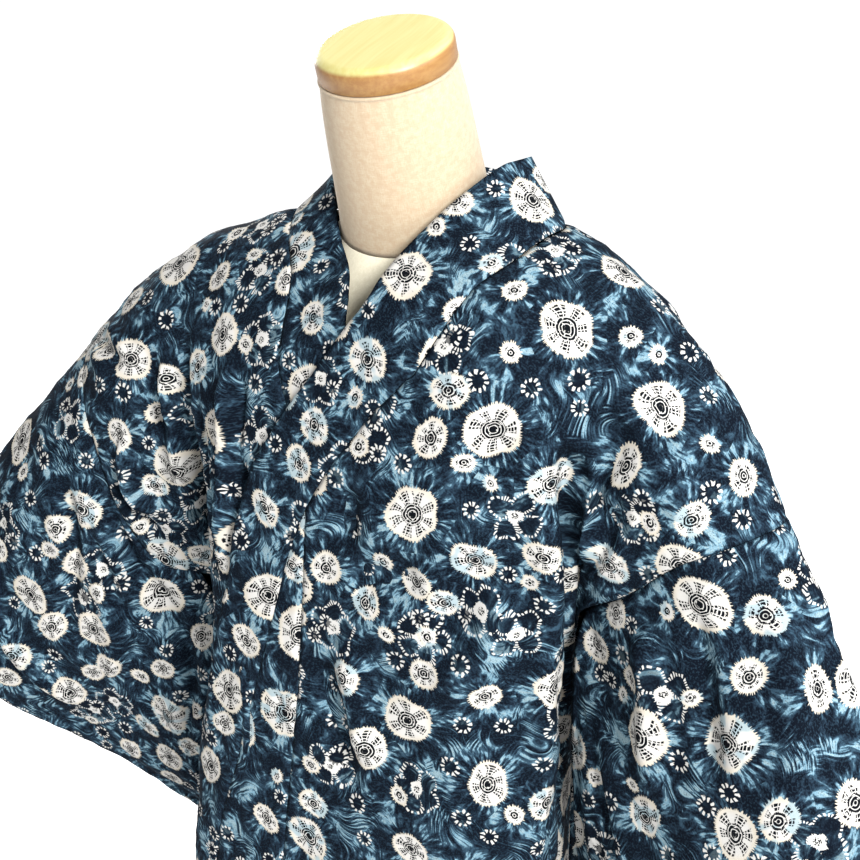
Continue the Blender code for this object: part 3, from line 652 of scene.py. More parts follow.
def flat_cloth(grid, offset):
    """Flat-cloth coordinates of a fine grid, shifted to the piece's own stretch of the print."""
    rows, columns = grid.shape[:2]
    picks = [sorted({*range(0, size, FLATTEN_PITCH), size - 1}) for size in (rows, columns)]
    flat = between(unwrapped(grid[np.ix_(*picks)]), picks[0], rows)
    return between(flat.swapaxes(0, 1), picks[1], columns).swapaxes(0, 1) + np.array(offset)


def cloth_piece(name, base, height, offset, sign, wall=CLOTH_WALL, joins=()):
    """A thin shell with its wall inside, standing for the node of the same name.

    height raises it off its base along the normals, sign turns those outwards, and joins are
    further faces, each from an edge of the cloth to another one that it is sewn to.
    """
    normals = unit(np.cross(np.gradient(base, axis=0), np.gradient(base, axis=1)) * sign)
    grid = base + normals * height[..., None]
    flat = flat_cloth(base, offset).reshape(-1, 2)
    faces = quads(*grid.shape[:2])
    uv = flat[faces]
    if len(joins):
        own = flat[joins]
        own[:, 2:] = own[:, 1::-1]
        faces, uv = np.concatenate((faces, joins)), np.concatenate((uv, own))
    if sign < 0:
        faces, uv = faces[:, ::-1], uv[:, ::-1]
    piece = smooth_piece(name + "_cloth", new_mesh(name, grid, faces), uv)
    solid = piece.modifiers.new("wall", "SOLIDIFY")
    solid.thickness = wall
    solid.offset = -1
    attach(piece, "root")
    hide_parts(name)
    return piece


def side_seam_closed(side, base, across, reach):
    """The drape with the side edges of front and back brought together below the armhole."""
    outer, level = across[:, -1], reach[:, 0]
    front, back = (front_points(side, outer, facing * np.abs(level)) for facing in (FRONT, BACK))
    middle = (front + back) / 2
    middle[:, 1] -= SEAM_GAP * np.sign(level)
    shift = (middle - base[:, -1]) * smooth_step(*SIDE_CLOSES, np.abs(level))[:, None]
    near = 1 - smooth_step(*SIDE_BLEND, outer[:, None] - across)
    return base + shift[:, None] * near[..., None]


def body_piece(side, name, offset):
    across, reach = body_places(side)
    base = side_seam_closed(side, front_points(side, across, reach), across, reach)
    to_hem = ROBE_REACH - np.abs(reach)
    height = drape_height(side, across, reach) + dip(across - across[:, :1])
    height += np.where(to_hem > SEAM_ABOVE_HEM, dip(across[:, -1:] - across), 0)
    height += hem_line(to_hem, BODY_HEM)
    return cloth_piece(name, base, height, offset, side)


def overlap_piece(side, name, offset):
    across, reach = overlap_places(side)
    height = drape_height(side, across, reach) + dip(across[:, :1] - across)
    from_edge = across - across[:, -1:]
    height += np.where(reach > COLLAR_END + COLLAR_SLANT, hem_line(from_edge), dip(from_edge))
    height += hem_line(ROBE_REACH - reach, BODY_HEM)
    return cloth_piece(name, front_points(side, across, reach), height, offset, -side)


def collar_piece(name, offset):
    from_seam = np.linspace(0, COLLAR_WIDTH, COLLAR_COLUMNS)[None, :]
    bases, heights = {}, {}
    for side in (LEFT, RIGHT):
        bases[side], across, reach = collar_half(side)
        lying = drape_height(side, across, reach) * smooth_step(*COLLAR_LIES, reach)
        heights[side] = lying + dip(from_seam)
    base, height = (np.concatenate((half[LEFT], half[RIGHT][-2::-1])) for half in (bases, heights))
    return cloth_piece(name, base, height, offset, 1, COLLAR_WALL)


def sleeve_piece(side, name, offset):
    base, depths = sleeve_grid(side)
    rows, columns = base.shape[:2]
    u, v = np.meshgrid(np.linspace(0, SLEEVE_WIDTH, columns), depths)
    height = creased(u, v, SLEEVE_CREASES[side], SLEEVE_WRINKLES, side)
    height *= smooth_step(*CREASES_START, u)
    height += np.where(np.abs(v) <= ARMHOLE_REACH, dip(u), 0)
    height += hem_line(SLEEVE_WIDTH - u)
    height *= smooth_step(*SEWN_BOTTOM, SLEEVE_DEPTH - np.abs(v))
    index = np.arange(rows * columns).reshape(rows, columns)
    joins = [(index[-1, i + 1], index[-1, i], index[0, i], index[0, i + 1])
             for i in range(columns - 1)]
    for row in range(rows // 2 + 1, rows):
        if depths[row - 1] >= HAND_OPENING:
            above, below = index[rows - row, -1], index[rows - 1 - row, -1]
            joins.append((index[row - 1, -1], index[row, -1], below, above))
    return cloth_piece(name, base, height, offset, side, joins=np.array(joins))


# Where each piece's own stretch of the print starts
PRINT_FROM = {"body": (0.0, 0.0), "overlap": (6.2, 0.2), "sleeve": (12.4, 0.9),
              "collar": (18.9, 0.5)}
PRINT_FURTHER = {LEFT: (0.0, 0.0), RIGHT: (3.1, 0.0)}


def robe():
    """The seven cloth pieces of the robe, each with the size it was cut to."""
    pieces = []
    for side, name in ((LEFT, "left"), (RIGHT, "right")):
        further = np.array(PRINT_FURTHER[side])
        body = body_piece(side, name + "_body_panel", further + PRINT_FROM["body"])
        overlap = overlap_piece(side, name + "_overlap_panel", further + PRINT_FROM["overlap"])
        sleeve = sleeve_piece(side, name + "_sleeve", further + PRINT_FROM["sleeve"])
        pieces += [body, overlap, sleeve]
    collar = collar_piece("collar", PRINT_FROM["collar"])
    return pieces + [collar]


# ---------- materials

def operator(operation):
    return lambda value, other: value.graph.maths(operation, value, other)


class Value:
    """A shader socket that takes part in arithmetic, so that a pattern reads as a formula."""

    __add__ = operator("ADD")
    __sub__ = operator("SUBTRACT")
    __mul__ = operator("MULTIPLY")
    __truediv__ = operator("DIVIDE")
    __gt__ = operator("GREATER_THAN")
    __lt__ = operator("LESS_THAN")

    def __init__(self, graph, socket):
        self.graph = graph
        self.socket = socket


class Graph:
    """Builds the nodes of one material. Lengths in its patterns are in millimetres."""

    def __init__(self, name):
        self.material = bpy.data.materials.new(name)
        self.material.use_nodes = True
        self.tree = self.material.node_tree
        self.shader = self.tree.nodes["Principled BSDF"].inputs

    def feed(self, socket, value):
        if isinstance(value, Value):
            value = value.socket
        if isinstance(value, bpy.types.NodeSocket):
            self.tree.links.new(value, socket)
        else:
            socket.default_value = value

    def node(self, kind, inputs, **settings):
        """Outputs of a new node, with its inputs given by number or by name."""
        made = self.tree.nodes.new("ShaderNode" + kind)
        for key, value in settings.items():
            setattr(made, key, value)
        for key, value in inputs.items():
            self.feed(made.inputs[key], value)
        return made.outputs

    def maths(self, operation, *values):
        return Value(self, self.node("Math", dict(enumerate(values)), operation=operation)[0])

    def vector(self, x, y, z=0.0):
        return self.node("CombineXYZ", {0: x, 1: y, 2: z})[0]

    def parts(self, vector):
        return [Value(self, output) for output in self.node("SeparateXYZ", {0: vector})]

    def place(self, kind):
        """Place on the flat cloth (UV) or in the piece (Object), in millimetres."""
        return [part * 1000 for part in self.parts(self.node("TexCoord", {})[kind])]

    def noise(self, x, y, size=1, z=None, detail=0.0, roughness=0.5):
        """Smooth noise between 0 and 1, its grains about size long."""
        place = self.vector(x / size, y / size, 0.0 if z is None else z)
        inputs = {"Vector": place, "Scale": 1, "Detail": detail, "Roughness": roughness}
        made = self.node("TexNoise", inputs, noise_dimensions="2D" if z is None else "3D")
        return Value(self, made["Fac"])

    def sway(self, x, y, size, width):
        """Uneven number about zero, from noise of one size."""
        return (self.noise(x, y, size) - 0.5) * width

    def scattered(self, x, y, spacing, loose, shift):
        """Nearest of many scattered places: its x, its y, and three chances that belong to it."""
        place = self.vector((x + shift[0]) / spacing, (y + shift[1]) / spacing)
        inputs = {"Vector": place, "Scale": 1, "Randomness": loose}
        made = self.node("TexVoronoi", inputs, voronoi_dimensions="2D", feature="F1")
        x, y, _ = self.parts(made["Position"])
        return x * spacing - shift[0], y * spacing - shift[1], self.parts(made["Color"])

    def step(self, low, high, value):
        """Number that goes from 0 to 1 as value goes from low to high."""
        inputs = {0: value, 1: low, 2: high}
        return Value(self, self.node("MapRange", inputs, interpolation_type="SMOOTHSTEP")[0])

    def pick(self, share, first, second):
        """Number that goes from first to second as share goes from 0 to 1."""
        return Value(self, self.node("Mix", {0: share, 2: first, 3: second}, data_type="FLOAT")[0])

    def colour(self, share, first, second):
        """Colour that goes from first to second as share goes from 0 to 1."""
        return self.node("Mix", {0: share, 6: first, 7: second}, data_type="RGBA")[2]

    def bump(self, height, strength, distance):
        inputs = {"Strength": strength, "Distance": distance, "Height": height}
        self.feed(self.shader["Normal"], self.node("Bump", inputs)[0])

    def finish(self, colour, roughness, **settings):
        self.feed(self.shader["Base Color"], colour)
        self.shader["Roughness"].default_value = roughness
        for key, value in settings.items():
            self.shader[key.replace("_", " ")].default_value = value
        return self.material


LIT = 0.30  # share of the light that white sends back, in a studio lit up to a white background


def rgb(*screen):
    """Linear colour from the 0 to 255 values of a screen."""
    shares = [value / 255 for value in screen]
    linear = [share / 12.92 if share <= 0.04045 else ((share + 0.055) / 1.055) ** 2.4
              for share in shares]
    return (*(LIT * value for value in linear), 1.0)


NAVY = rgb(16, 24, 36)
DEEP = rgb(36, 52, 68)
MIDDLE = rgb(62, 90, 110)
PALE = rgb(144, 188, 210)
WHITE = rgb(252, 250, 245)
INK = rgb(18, 22, 28)
TINT = rgb(178, 210, 222)
CREAM = rgb(250, 236, 208)

PRINT_SCALE = 1.18

# Spacing, looseness and shift of the scattered places, and for the kinds of disc the least radius
# and how much larger some are
DISCS = (
    ((80.0, 0.62, (0, 0)), 12.2, 4.6),
    ((51.0, 0.78, (37, -37)), 8.4, 2.4),
    ((54.0, 0.85, (74, -74)), 4.2, 2.4),
)
FLOWERS = (56.0, 0.75, (11, 23))
RINGS = (31.0, 0.85, (-19, 7))
DISC_ROOM = 1.5  # free ground that each of them needs, or it is left out
FLOWER_ROOM = 11.0
RING_ROOM = 5.5
RIM_SIZE = 17  # of the bulges of a disc's rim
RIM_UNEVEN = 0.42
RIM_OVAL = 0.09
HAIRS = 1.4
RING_PITCH = 1.8  # of the dark rings on a disc
RAYS_LEAST = 4.0  # how many rays break them
RAYS_MORE = 0.12  # and how many more for each millimetre of its radius
DOT = (0.11, 0.08)  # edge of the dot in a disc's middle, as a share of its radius
UNBROKEN = (0.46, 0.40)  # its rings aren't broken into rays inside this share
BLUSHING = 0.55  # discs whose chance is above this have a blue blush
BLUSH = 0.75
PETAL_AWAY = 9.0  # from the flower's middle to a petal's
PETAL_RADIUS = 6.8
PETAL_LINE = (1.25, 0.75)
PETAL_DASHES = 19
HEART_RADIUS = 4.4
SPOT = (2.6, 2.0)
RING_RADIUS = 3.8
RING_LINE = (1.4, 0.8)
RING_BLADES = 10

# Ground: wandering brush strokes, which stream away from the discs near their rims
CLOUD_SIZE = 24
CLOUD_EDGE = (0.44, 0.54)  # level strokes on one side of it, upright ones on the other
WANDER_SIZE = 34
WANDER = 48
STROKE_WIDTH = 2.0
STROKE_LENGTH = 10.5
STREAM_WIDTH = 1.9
STREAM_LENGTH = 9
STREAMS_WITHIN = (18.0, 7.0)
PATCH_SIZE = 17
PATCHINESS = 0.62
# Tones: from and up to what level each one sets in, how far it covers, colour
STROKE_TONES = ((0.40, 0.50, 1, DEEP), (0.51, 0.57, 1, MIDDLE), (0.59, 0.66, 1, PALE),
                (0.66, 0.74, 1, TINT))
DAPPLE_TONES = ((0.52, 0.66, 0.3, MIDDLE), (0.48, 0.34, 0.45, NAVY))
DAPPLE = (1.3, 1.0)


def disc_at(g, kind, x, y):
    """The disc of one kind that is nearest: its place, radius and chances."""
    scatter, least, more = DISCS[kind]
    cx, cy, chance = g.scattered(x, y, *scatter)
    return cx, cy, chance[0] * more + least, chance


def length(g, x, y, least=0.0):
    return g.maths("SQRT", x * x + y * y + least)


def room_at(g, x, y, kinds):
    """Distance from a place to the nearest rim among some kinds of disc."""
    room = 100.0
    for kind in range(kinds):
        cx, cy, radius, _ = disc_at(g, kind, x, y)
        room = g.maths("MINIMUM", room, length(g, x - cx, y - cy) - radius)
    return room


def polar(g, x, y, cx, cy):
    dx, dy = x - cx, y - cy
    return dx, dy, length(g, dx, dy, 0.0001), g.maths("ARCTAN2", dy, dx)


def brushed(g, x, y, seed, turned):
    """Long wandering brush strokes, about level or upright."""
    u = x + g.sway(x + seed, y, WANDER_SIZE, WANDER)
    v = y + g.sway(x, y - seed, WANDER_SIZE, WANDER)
    if turned:
        u, v = v, u
    return g.noise(u / STROKE_WIDTH, v / STROKE_LENGTH, detail=2.5, roughness=0.6)


def nearest_disc(g, x, y):
    """(x, y, radius, two chances) of the nearest disc by its rim. Small ones give way to larger."""
    cx, cy, radius, chance = disc_at(g, 0, x, y)
    best = length(g, x - cx, y - cy) - radius
    found = cx, cy, radius, chance[1], chance[2]
    for kind in (1, 2):
        cx, cy, radius, chance = disc_at(g, kind, x, y)
        radius = g.pick(room_at(g, cx, cy, kind) - radius > DISC_ROOM, -60.0, radius)
        rim = length(g, x - cx, y - cy) - radius
        nearer = rim < best
        best = g.pick(nearer, best, rim)
        own = cx, cy, radius, chance[1], chance[2]
        found = [g.pick(nearer, before, after) for before, after in zip(found, own)]
    return found


def toned(g, ground, level, tones):
    """The ground with each tone laid over it where the level is right."""
    for low, high, cover, tone in tones:
        ground = g.colour(g.step(low, high, level) * cover, ground, tone)
    return ground


def brushed_ground(g, x, y, rim_x, rim_y, out, radius):
    """Colour of the ground, with strokes that stream away from the nearest disc."""
    cloud = g.noise(x, y, CLOUD_SIZE, detail=1.0)
    stroke = g.pick(g.step(*CLOUD_EDGE, cloud),
                    brushed(g, x, y, 40, False), brushed(g, x, y, 90, True))
    streaming = g.noise(rim_x, rim_y, STREAM_WIDTH, z=out / STREAM_LENGTH,
                        detail=2.0, roughness=0.6)
    stroke = g.pick(g.step(*STREAMS_WITHIN, out - radius), stroke, streaming)
    patchy = g.noise(x / PATCH_SIZE + 9, y / PATCH_SIZE, detail=1.0)
    stroke = stroke + (patchy - 0.5) * PATCHINESS
    dapple = g.noise(x / DAPPLE[0], y / DAPPLE[1], detail=1.0)
    return toned(g, toned(g, NAVY, stroke, STROKE_TONES), dapple, DAPPLE_TONES)


def with_flowers(g, x, y, ground):
    """The ground with flowers: petals outlined in short dashes, round a small disc."""
    fx, fy, chance = g.scattered(x, y, *FLOWERS)
    px, py, out, turn = polar(g, x, y, fx, fy)
    open_ground = room_at(g, fx, fy, 2) > FLOWER_ROOM
    half_petal = g.maths("DIVIDE", pi, g.maths("ROUND", chance[1] * 2 + 3.6))
    aside = g.maths("PINGPONG", turn + chance[0] * 6, half_petal)
    along = out * g.maths("COSINE", aside) - chance[2] * 1.5 - PETAL_AWAY
    beside = out * g.maths("SINE", aside)
    outline = length(g, along, beside) - PETAL_RADIUS + g.sway(px / 7 + fx, py / 7, 1, 5)
    dash = g.maths("ARCTAN2", beside, along) * PETAL_DASHES + g.sway(px, py, 6, 9)
    dashes = g.step(-0.2, 0.3, g.maths("COSINE", dash)) * open_ground
    dashes = g.step(*PETAL_LINE, g.maths("ABSOLUTE", outline)) * dashes
    ground = g.colour(g.step(0.0, -3.0, outline) * open_ground * 0.55, ground, NAVY)
    ground = g.colour(dashes, ground, WHITE)
    hair = g.step(0.42, 0.8, g.noise(px / out * 7 + fx, py / out * 7))
    heart = out - HEART_RADIUS - hair - g.sway(px / 5 + fx, py / 5, 1, 4)
    spot = g.step(*SPOT, out) * g.step(0.45, 0.55, g.noise(x, y, 0.9))
    return g.colour(g.step(0.3, -0.3, heart) * open_ground, ground, g.colour(spot, WHITE, INK))


def with_rings(g, x, y, ground):
    """The ground with small rings of short white petals."""
    rx, ry, chance = g.scattered(x, y, *RINGS)
    qx, qy, out, turn = polar(g, x, y, rx, ry)
    open_ground = room_at(g, rx, ry, 3) > RING_ROOM
    past = out - (chance[0] * 1.6 + RING_RADIUS)
    blades = g.maths("COSINE", turn * RING_BLADES + g.sway(qx / 4 + rx, qy / 4, 1, 3))
    band = g.maths("ABSOLUTE", past - g.sway(qx / 2 + rx, qy / 2, 1, 2.4))
    band = g.step(*RING_LINE, band) * g.step(-0.3, 0.2, blades) * open_ground
    ground = g.colour(g.step(0.5, -1.0, past) * open_ground * 0.8, ground, NAVY)
    return g.colour(band, ground, WHITE)


def printed_cotton():
    """Indigo cotton with a tie-dye style print: discs, dashed flowers, rings and leaf strokes."""
    g = Graph("printed_cotton")
    x, y = (part / PRINT_SCALE for part in g.place("UV")[:2])
    cx, cy, radius, *chances = nearest_disc(g, x, y)
    dx, dy, out, turn = polar(g, x, y, cx, cy)
    rim_x, rim_y = cx + dx / out * radius, cy + dy / out * radius

    # discs: an uneven rim with fine hairs, dark rings round a dot, broken into rays
    oval = g.maths("COSINE", turn * 2 + chances[0] * 40) * RIM_OVAL
    uneven = g.sway(rim_x, rim_y, RIM_SIZE, RIM_UNEVEN)
    edge = radius * (uneven + oval + 1.0)
    hairs = g.step(0.38, 0.74, g.noise(rim_x, rim_y, 0.6)) * HAIRS
    share = out / (radius * (uneven * 0.4 + oval + 1.0))
    rings = share * g.maths("ROUND", radius / RING_PITCH)
    arc = g.maths("PINGPONG", rings + g.sway(x, y, 3, 0.35), 0.5)
    count = g.maths("ROUND", chances[0] * 2 + radius * RAYS_MORE + RAYS_LEAST)
    sweep = turn * count + g.sway(x, y, 9, 2.4) + chances[1] * 40
    rays, columns = g.maths("COSINE", sweep), g.maths("COSINE", sweep * 3)
    rays = g.step(-0.5, -0.2, rays) * g.step(-0.92, -0.72, columns)
    rays = rays * g.step(1.02, 0.94, share + g.sway(rim_x, rim_y, 4, 0.8))
    rays = g.maths("MAXIMUM", rays, g.step(*UNBROKEN, share))
    dark = g.step(0.43, 0.31, arc) * rays * g.step(1.4, 2.2, edge - out)
    dark = dark * g.step(0.22, 0.32, g.noise(x, y, 1.5))
    dark = g.maths("MAXIMUM", dark, g.step(*DOT, share))
    blush = g.step(0.5, 0.66, g.noise(x, y, 8)) * (chances[1] > BLUSHING) * BLUSH
    disc = g.colour(g.step(0.7, 1.05, share) * 0.6, WHITE, CREAM)
    disc = g.colour(dark, g.colour(blush, disc, TINT), INK)

    ground = brushed_ground(g, x, y, rim_x, rim_y, out, radius)
    ground = with_rings(g, x, y, with_flowers(g, x, y, ground))
    inside = g.step(0.4, -0.4, out - edge - hairs)
    weave = g.noise(x / 0.55, y / 7.0, detail=1.0) + g.noise(x / 7.0, y / 0.55, detail=1.0)
    g.bump(weave, 0.25, 0.0004)
    return g.finish(g.colour(inside, ground, disc), 0.88, Specular_IOR_Level=0.02)


def form_cover(name, dark, light, stain):
    """Cream woven cover of the dress form, between two tones, with faint stains."""
    g = Graph(name)
    x, y, _ = g.place("UV")
    slubs = g.noise(x / 0.7, y / 4.0, detail=2.0) + g.noise(x / 4.0, y / 0.7, detail=2.0)
    tone = g.colour(g.step(0.5, 1.5, slubs), dark, light)
    tone = g.colour(g.step(0.35, 0.7, g.noise(x, y, 5, detail=3.0)) * 0.45, tone, stain)
    g.bump(slubs, 0.2, 0.0003)
    return g.finish(tone, 0.9, Sheen_Weight=0.15, Specular_IOR_Level=0.2)


def turned_wood():
    """Pale lacquered wood with long grain across the cap."""
    g = Graph("turned_wood")
    x, y, z = g.place("Object")
    warp = g.noise(x / 30, y / 60, z=z / 30)
    grain = g.noise(x / 3.2 + warp * 3, y / 70, z=z / 3.2, detail=3.0, roughness=0.6)
    pores = g.noise(x / 0.5, y / 14, z=z / 0.5, detail=1.0)
    grain = g.step(0.3, 0.7, grain)
    side = g.colour(grain, rgb(188, 132, 68), rgb(206, 154, 86))
    side = g.colour(g.step(0.62, 0.75, pores) * 0.3, side, rgb(160, 104, 50))
    face = g.colour(grain, rgb(244, 230, 142), rgb(252, 244, 164))
    tone = g.colour(g.step(132.5, 135.5, z), side, face)
    g.bump(pores, 0.1, 0.0002)
    return g.finish(tone, 0.45, Coat_Weight=0.1, Coat_Roughness=0.3, Specular_IOR_Level=0.3)


def brushed_steel():
    g = Graph("brushed_steel")
    x, y, z = g.place("Object")
    lines = g.noise(x, y, 3, z=z / 0.3, detail=2.0)
    g.bump(lines, 0.1, 0.0002)
    return g.finish(g.colour(lines, rgb(168, 168, 170), rgb(205, 205, 206)), 0.32, Metallic=1.0)


def painted_iron():
    g = Graph("painted_iron")
    x, y, z = g.place("Object")
    dust = g.noise(x, y, 40, z=z / 40, detail=3.0)
    g.bump(g.noise(x, y, 1.5, z=z / 1.5, detail=1.0), 0.12, 0.0003)
    return g.finish(g.colour(dust, rgb(214, 211, 204), rgb(232, 230, 225)), 0.45, Coat_Weight=0.2)


# ---------- dress form and stand

NECK_BASE = (0.0, 0.0, 1.33)
NECK_LEAN = radians(20)
NECK_BASE_RADIUS = 0.058
NECK_PROFILE = ((0.0484, 0.1187), (0.0506, 0.100), (0.0525, 0.075), (0.0540, 0.045),
                (0.0557, 0.015), (0.0578, 0.0003))
NECK_RIM_BELOW = 0.0012  # the cloth stands out in a thin rim this far below the cap
NECK_RIM = 0.0012
NECK_RIM_FINE = (0.1145, 0.1152)  # heights between which the rings get closer
TUCK = 0.0004  # how far the neck's ends turn in
CAP_BOTTOM = 0.1190
CAP_HEIGHT = 0.0185
CAP_RADIUS = 0.0490
CAP_ROUNDING = 0.007
CAP_CHAMFER = 0.0007
TORSO = metres(
    # z, half_width, front, back, rise: how many thousandths the ring rises towards the back
    (720, 130, 90, 94, 0), (726, 134, 94, 98, 0), (800, 136, 98, 104, 0), (880, 130, 92, 98, 0),
    (985, 110, 78, 80, 0), (1060, 120, 92, 88, 0), (1130, 128, 104, 95, 0), (1190, 130, 98, 98, 0),
    (1232, 146, 85, 92, 40), (1260, 148, 70, 80, 100), (1280, 130, 63, 70, 180),
    (1298, 96, 61, 64, 280),
)
TORSO_ROUNDNESS = 2.3
TORSO_SIDES = 128
TORSO_ROWS = 90
TORSO_CLOTH_TURN = 0.13  # radius that the torso's flat coordinates are laid round
FLARE_DIP = 0.003
FLARE_TO_NECK = 0.6
POLE_RADIUS = 0.0125
POLE_GAP = 0.0005
BASE_PROFILE = ((0.022, 0.045), (0.028, 0.039), (0.030, 0.022), (0.150, 0.016), (0.162, 0.012),
                (0.165, 0.006), (0.165, 0.0))
BASE_EDGE = 5  # the corner of its profile that is rounded off
BASE_ROUNDING = 0.004
TURNED_SIDES = 144


def full_turn(sides):
    return 2 * pi * np.arange(sides + 1) / sides


def lathe(name, node, profile, matrix, material):
    """A solid turned about its own Z axis from a profile (radius, height) down its outer side."""
    closed = [(0.0001, profile[0][1]), *profile, (0.0001, profile[-1][1])]
    radii, heights = np.array(closed).T[..., None]
    turn = full_turn(TURNED_SIDES)
    grid = np.stack(np.broadcast_arrays(radii * np.cos(turn), radii * np.sin(turn), heights), -1)
    down = np.append(0, np.cumsum(np.hypot(np.diff(radii[:, 0]), np.diff(heights[:, 0]))))
    loft(name, node, grid, down, CAP_RADIUS * turn, matrix, material)


def loft(name, node, grid, down, round_way, matrix, material):
    """A closed piece through rings of points, with flat coordinates down and round it."""
    faces = quads(*grid.shape[:2])
    flat = np.stack(np.broadcast_arrays(round_way[None, :], -down[:, None]), -1).reshape(-1, 2)
    piece = smooth_piece(name, new_mesh(name, grid, faces), flat[faces.ravel()])
    weld = piece.modifiers.new("joined", "WELD")
    weld.merge_threshold = 0.00005
    piece.matrix_world = matrix
    piece.data.materials.append(material)
    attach(piece, "root")
    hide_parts(node)


def bend(start, corner, end, share):
    """Place on a curve that leaves start towards a corner and comes into end from it."""
    return (1 - share) ** 2 * start + 2 * share * (1 - share) * corner + share * share * end


def rounded(profile, corner, radius, steps=6):
    """The profile with one corner rounded off."""
    points = [np.array(p, float) for p in profile]
    before, at, after = points[corner - 1:corner + 2]
    start, end = (at + unit(other - at) * radius for other in (before, after))
    arc = [bend(start, at, end, share) for share in np.linspace(0, 1, steps)]
    return points[:corner] + arc + points[corner + 1:]


def cap_profile(steps=10):
    top = CAP_BOTTOM + CAP_HEIGHT
    rim, shoulder = CAP_RADIUS - CAP_ROUNDING, top - CAP_ROUNDING
    turns = [pi / 2 * step / steps for step in range(steps + 1)]
    edge = [(rim + CAP_ROUNDING * sin(turn), shoulder + CAP_ROUNDING * cos(turn)) for turn in turns]
    flat_top = [(CAP_RADIUS * share, top) for share in (0.3, 0.6)]
    chamfer = [(CAP_RADIUS, CAP_BOTTOM + CAP_CHAMFER), (CAP_RADIUS - CAP_CHAMFER, CAP_BOTTOM)]
    return flat_top + edge + chamfer


def neck_profile():
    top, bottom = NECK_PROFILE[0][1], NECK_PROFILE[-1][1]
    heights = np.append(np.linspace(bottom, NECK_RIM_FINE[0], 30),
                        np.linspace(NECK_RIM_FINE[1], top, 8))
    radii = curve([(height, radius) for radius, height in NECK_PROFILE], heights)[:, 0]
    radii += NECK_RIM * np.exp(-(((heights - top + NECK_RIM_BELOW) / 0.0013) ** 2))
    profile = list(zip(radii, heights))[::-1]
    return [(radii[-1] - TUCK, top), *profile, (radii[0] - TUCK, bottom)]


def torso_rings():
    """The torso's rings, carried smoothly between the sections of the solid."""
    sections = np.column_stack((np.arange(len(TORSO)), TORSO))
    c, s = np.cos(full_turn(TORSO_SIDES)), np.sin(full_turn(TORSO_SIDES))
    power = 2 / TORSO_ROUNDNESS
    rings = []
    for z, half, front, back, rise in curve(sections, np.linspace(0, len(TORSO) - 1, TORSO_ROWS)):
        x = half * np.sign(c) * np.abs(c) ** power
        y = np.where(s > 0, back, front) * np.sign(s) * np.abs(s) ** power
        rings.append(np.column_stack((x, y, z + rise * y)))
    neck = np.column_stack((NECK_BASE_RADIUS * c, NECK_BASE_RADIUS * s * cos(NECK_LEAN),
                            NECK_BASE_RADIUS * s * sin(NECK_LEAN))) + np.array(NECK_BASE)
    last = rings[-1]
    flare = last * (1 - FLARE_TO_NECK) + neck * FLARE_TO_NECK - np.array((0, 0, FLARE_DIP))
    shares = (*np.linspace(0, 0.93, 12)[1:], 0.985, 1.0)
    rings += [bend(last, flare, neck, share) for share in shares]
    covers = []
    for end in (rings[-1], rings[0]):
        centre = np.repeat(end.mean(axis=0)[None, :], len(end), axis=0)
        covers.append([centre, end * 0.99 + centre * 0.01])
    return np.array(covers[0] + rings[::-1] + covers[1][::-1])


def dress_form():
    upright = Matrix.Identity(4)
    leaning = Matrix.Translation(NECK_BASE) @ Matrix.Rotation(NECK_LEAN, 4, "X")
    neck_cloth = form_cover("neck_cloth", rgb(238, 211, 174), rgb(250, 231, 198),
                            rgb(226, 192, 156))
    # Painted light: the torso's cover is a brighter, paler copy of the neck's cloth, its tones
    # given straight and not through rgb(), lightening the V of the neckline where the collar's
    # shade falls.
    torso_cloth_painted_light = form_cover("torso_cloth_painted_light", (0.45, 0.41, 0.31, 1), (0.52, 0.49, 0.38, 1),
                             (0.42, 0.38, 0.29, 1))
    torso = torso_rings()
    steps = np.linalg.norm(np.diff(torso, axis=0), axis=-1).mean(axis=1)
    round_way = np.linspace(0, 2 * pi * TORSO_CLOTH_TURN, torso.shape[1])
    loft("torso_cover", "form_torso", torso, np.append(0, np.cumsum(steps)), round_way, upright,
         torso_cloth_painted_light)
    lathe("neck_cover", "form_neck", neck_profile(), leaning, neck_cloth)
    lathe("wooden_cap", "neck_cap", cap_profile(), leaning, turned_wood())
    pole = [(POLE_RADIUS, TORSO[0][0] - POLE_GAP), (POLE_RADIUS, BASE_PROFILE[0][1] + POLE_GAP)]
    lathe("steel_pole", "pole", pole, upright, brushed_steel())
    base = rounded(BASE_PROFILE, BASE_EDGE, BASE_ROUNDING)
    lathe("round_base", "base_plate", base, upright, painted_iron())


# ---------- stage, light and camera

FLOOR_RADIUS = 9
FLOOR_SIDES = 96
FLOOR_TONE = (0.93, 0.93, 0.93, 1)
SKY_STRENGTH = 1.1
LIGHT_AIM = (0, 0, 1.1)
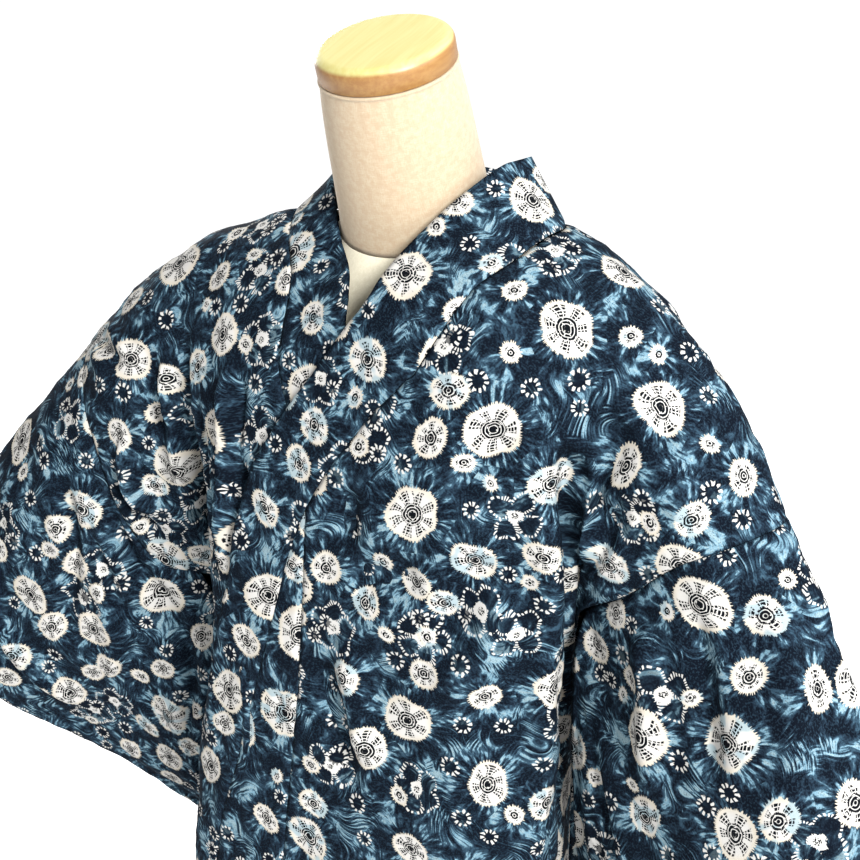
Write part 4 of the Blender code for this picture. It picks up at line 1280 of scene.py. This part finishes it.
# name, place, size and power of each light
LIGHTS = (
    ("overhead", (0.6, 0.7, 3.4), 2.2, 40),
    ("key", (2.7, -2.0, 2.8), 1.2, 425),
    ("side", (2.9, 0.2, 2.2), 1.2, 50),
    ("rear", (-2.6, 2.0, 1.9), 1.6, 110),
)
CAMERA_PLACE = (0.551, -0.899, 1.551)
CAMERA_TURN = radians(30.9)
CAMERA_DOWN = radians(20.2)
CAMERA_ROLL = radians(0.7)
CAMERA_LENS = 60.7


def stage():
    turn = full_turn(FLOOR_SIDES)[:-1]
    rim = np.column_stack((FLOOR_RADIUS * np.cos(turn), FLOOR_RADIUS * np.sin(turn), 0 * turn))
    floor = in_scene("floor", new_mesh("floor", rim, np.arange(FLOOR_SIDES)[None, :]))
    floor.data.materials.append(Graph("pale_floor").finish(FLOOR_TONE, 0.9))


def lights():
    world = bpy.data.worlds.new("studio")
    world.use_nodes = True
    sky = world.node_tree.nodes["Background"].inputs
    sky["Color"].default_value = (1, 1, 1, 1)
    sky["Strength"].default_value = SKY_STRENGTH
    bpy.context.scene.world = world
    for name, place, size, power in LIGHTS:
        light = bpy.data.lights.new(name, "AREA")
        light.shape = "DISK"
        light.size = size
        light.energy = power
        lamp = in_scene(name, light)
        lamp.location = place
        lamp.rotation_mode = "QUATERNION"
        lamp.rotation_quaternion = (Vector(LIGHT_AIM) - Vector(place)).to_track_quat("-Z", "Y")
    bpy.context.scene.view_settings.view_transform = "Standard"


def camera():
    data = bpy.data.cameras.new("camera")
    data.lens = CAMERA_LENS
    data.sensor_width = 36
    data.clip_start = 0.05
    data.clip_end = 100
    made = in_scene("camera", data)
    turn = Matrix.Rotation(CAMERA_TURN, 4, "Z") @ Matrix.Rotation(pi / 2 - CAMERA_DOWN, 4, "X")
    roll = Matrix.Rotation(CAMERA_ROLL, 4, "Z")
    made.matrix_world = Matrix.Translation(CAMERA_PLACE) @ turn @ roll
    bpy.context.scene.camera = made


def main():
    cotton = printed_cotton()
    for piece in robe():
        piece.data.materials.append(cotton)
    dress_form()
    stage()
    lights()
    camera()


main()
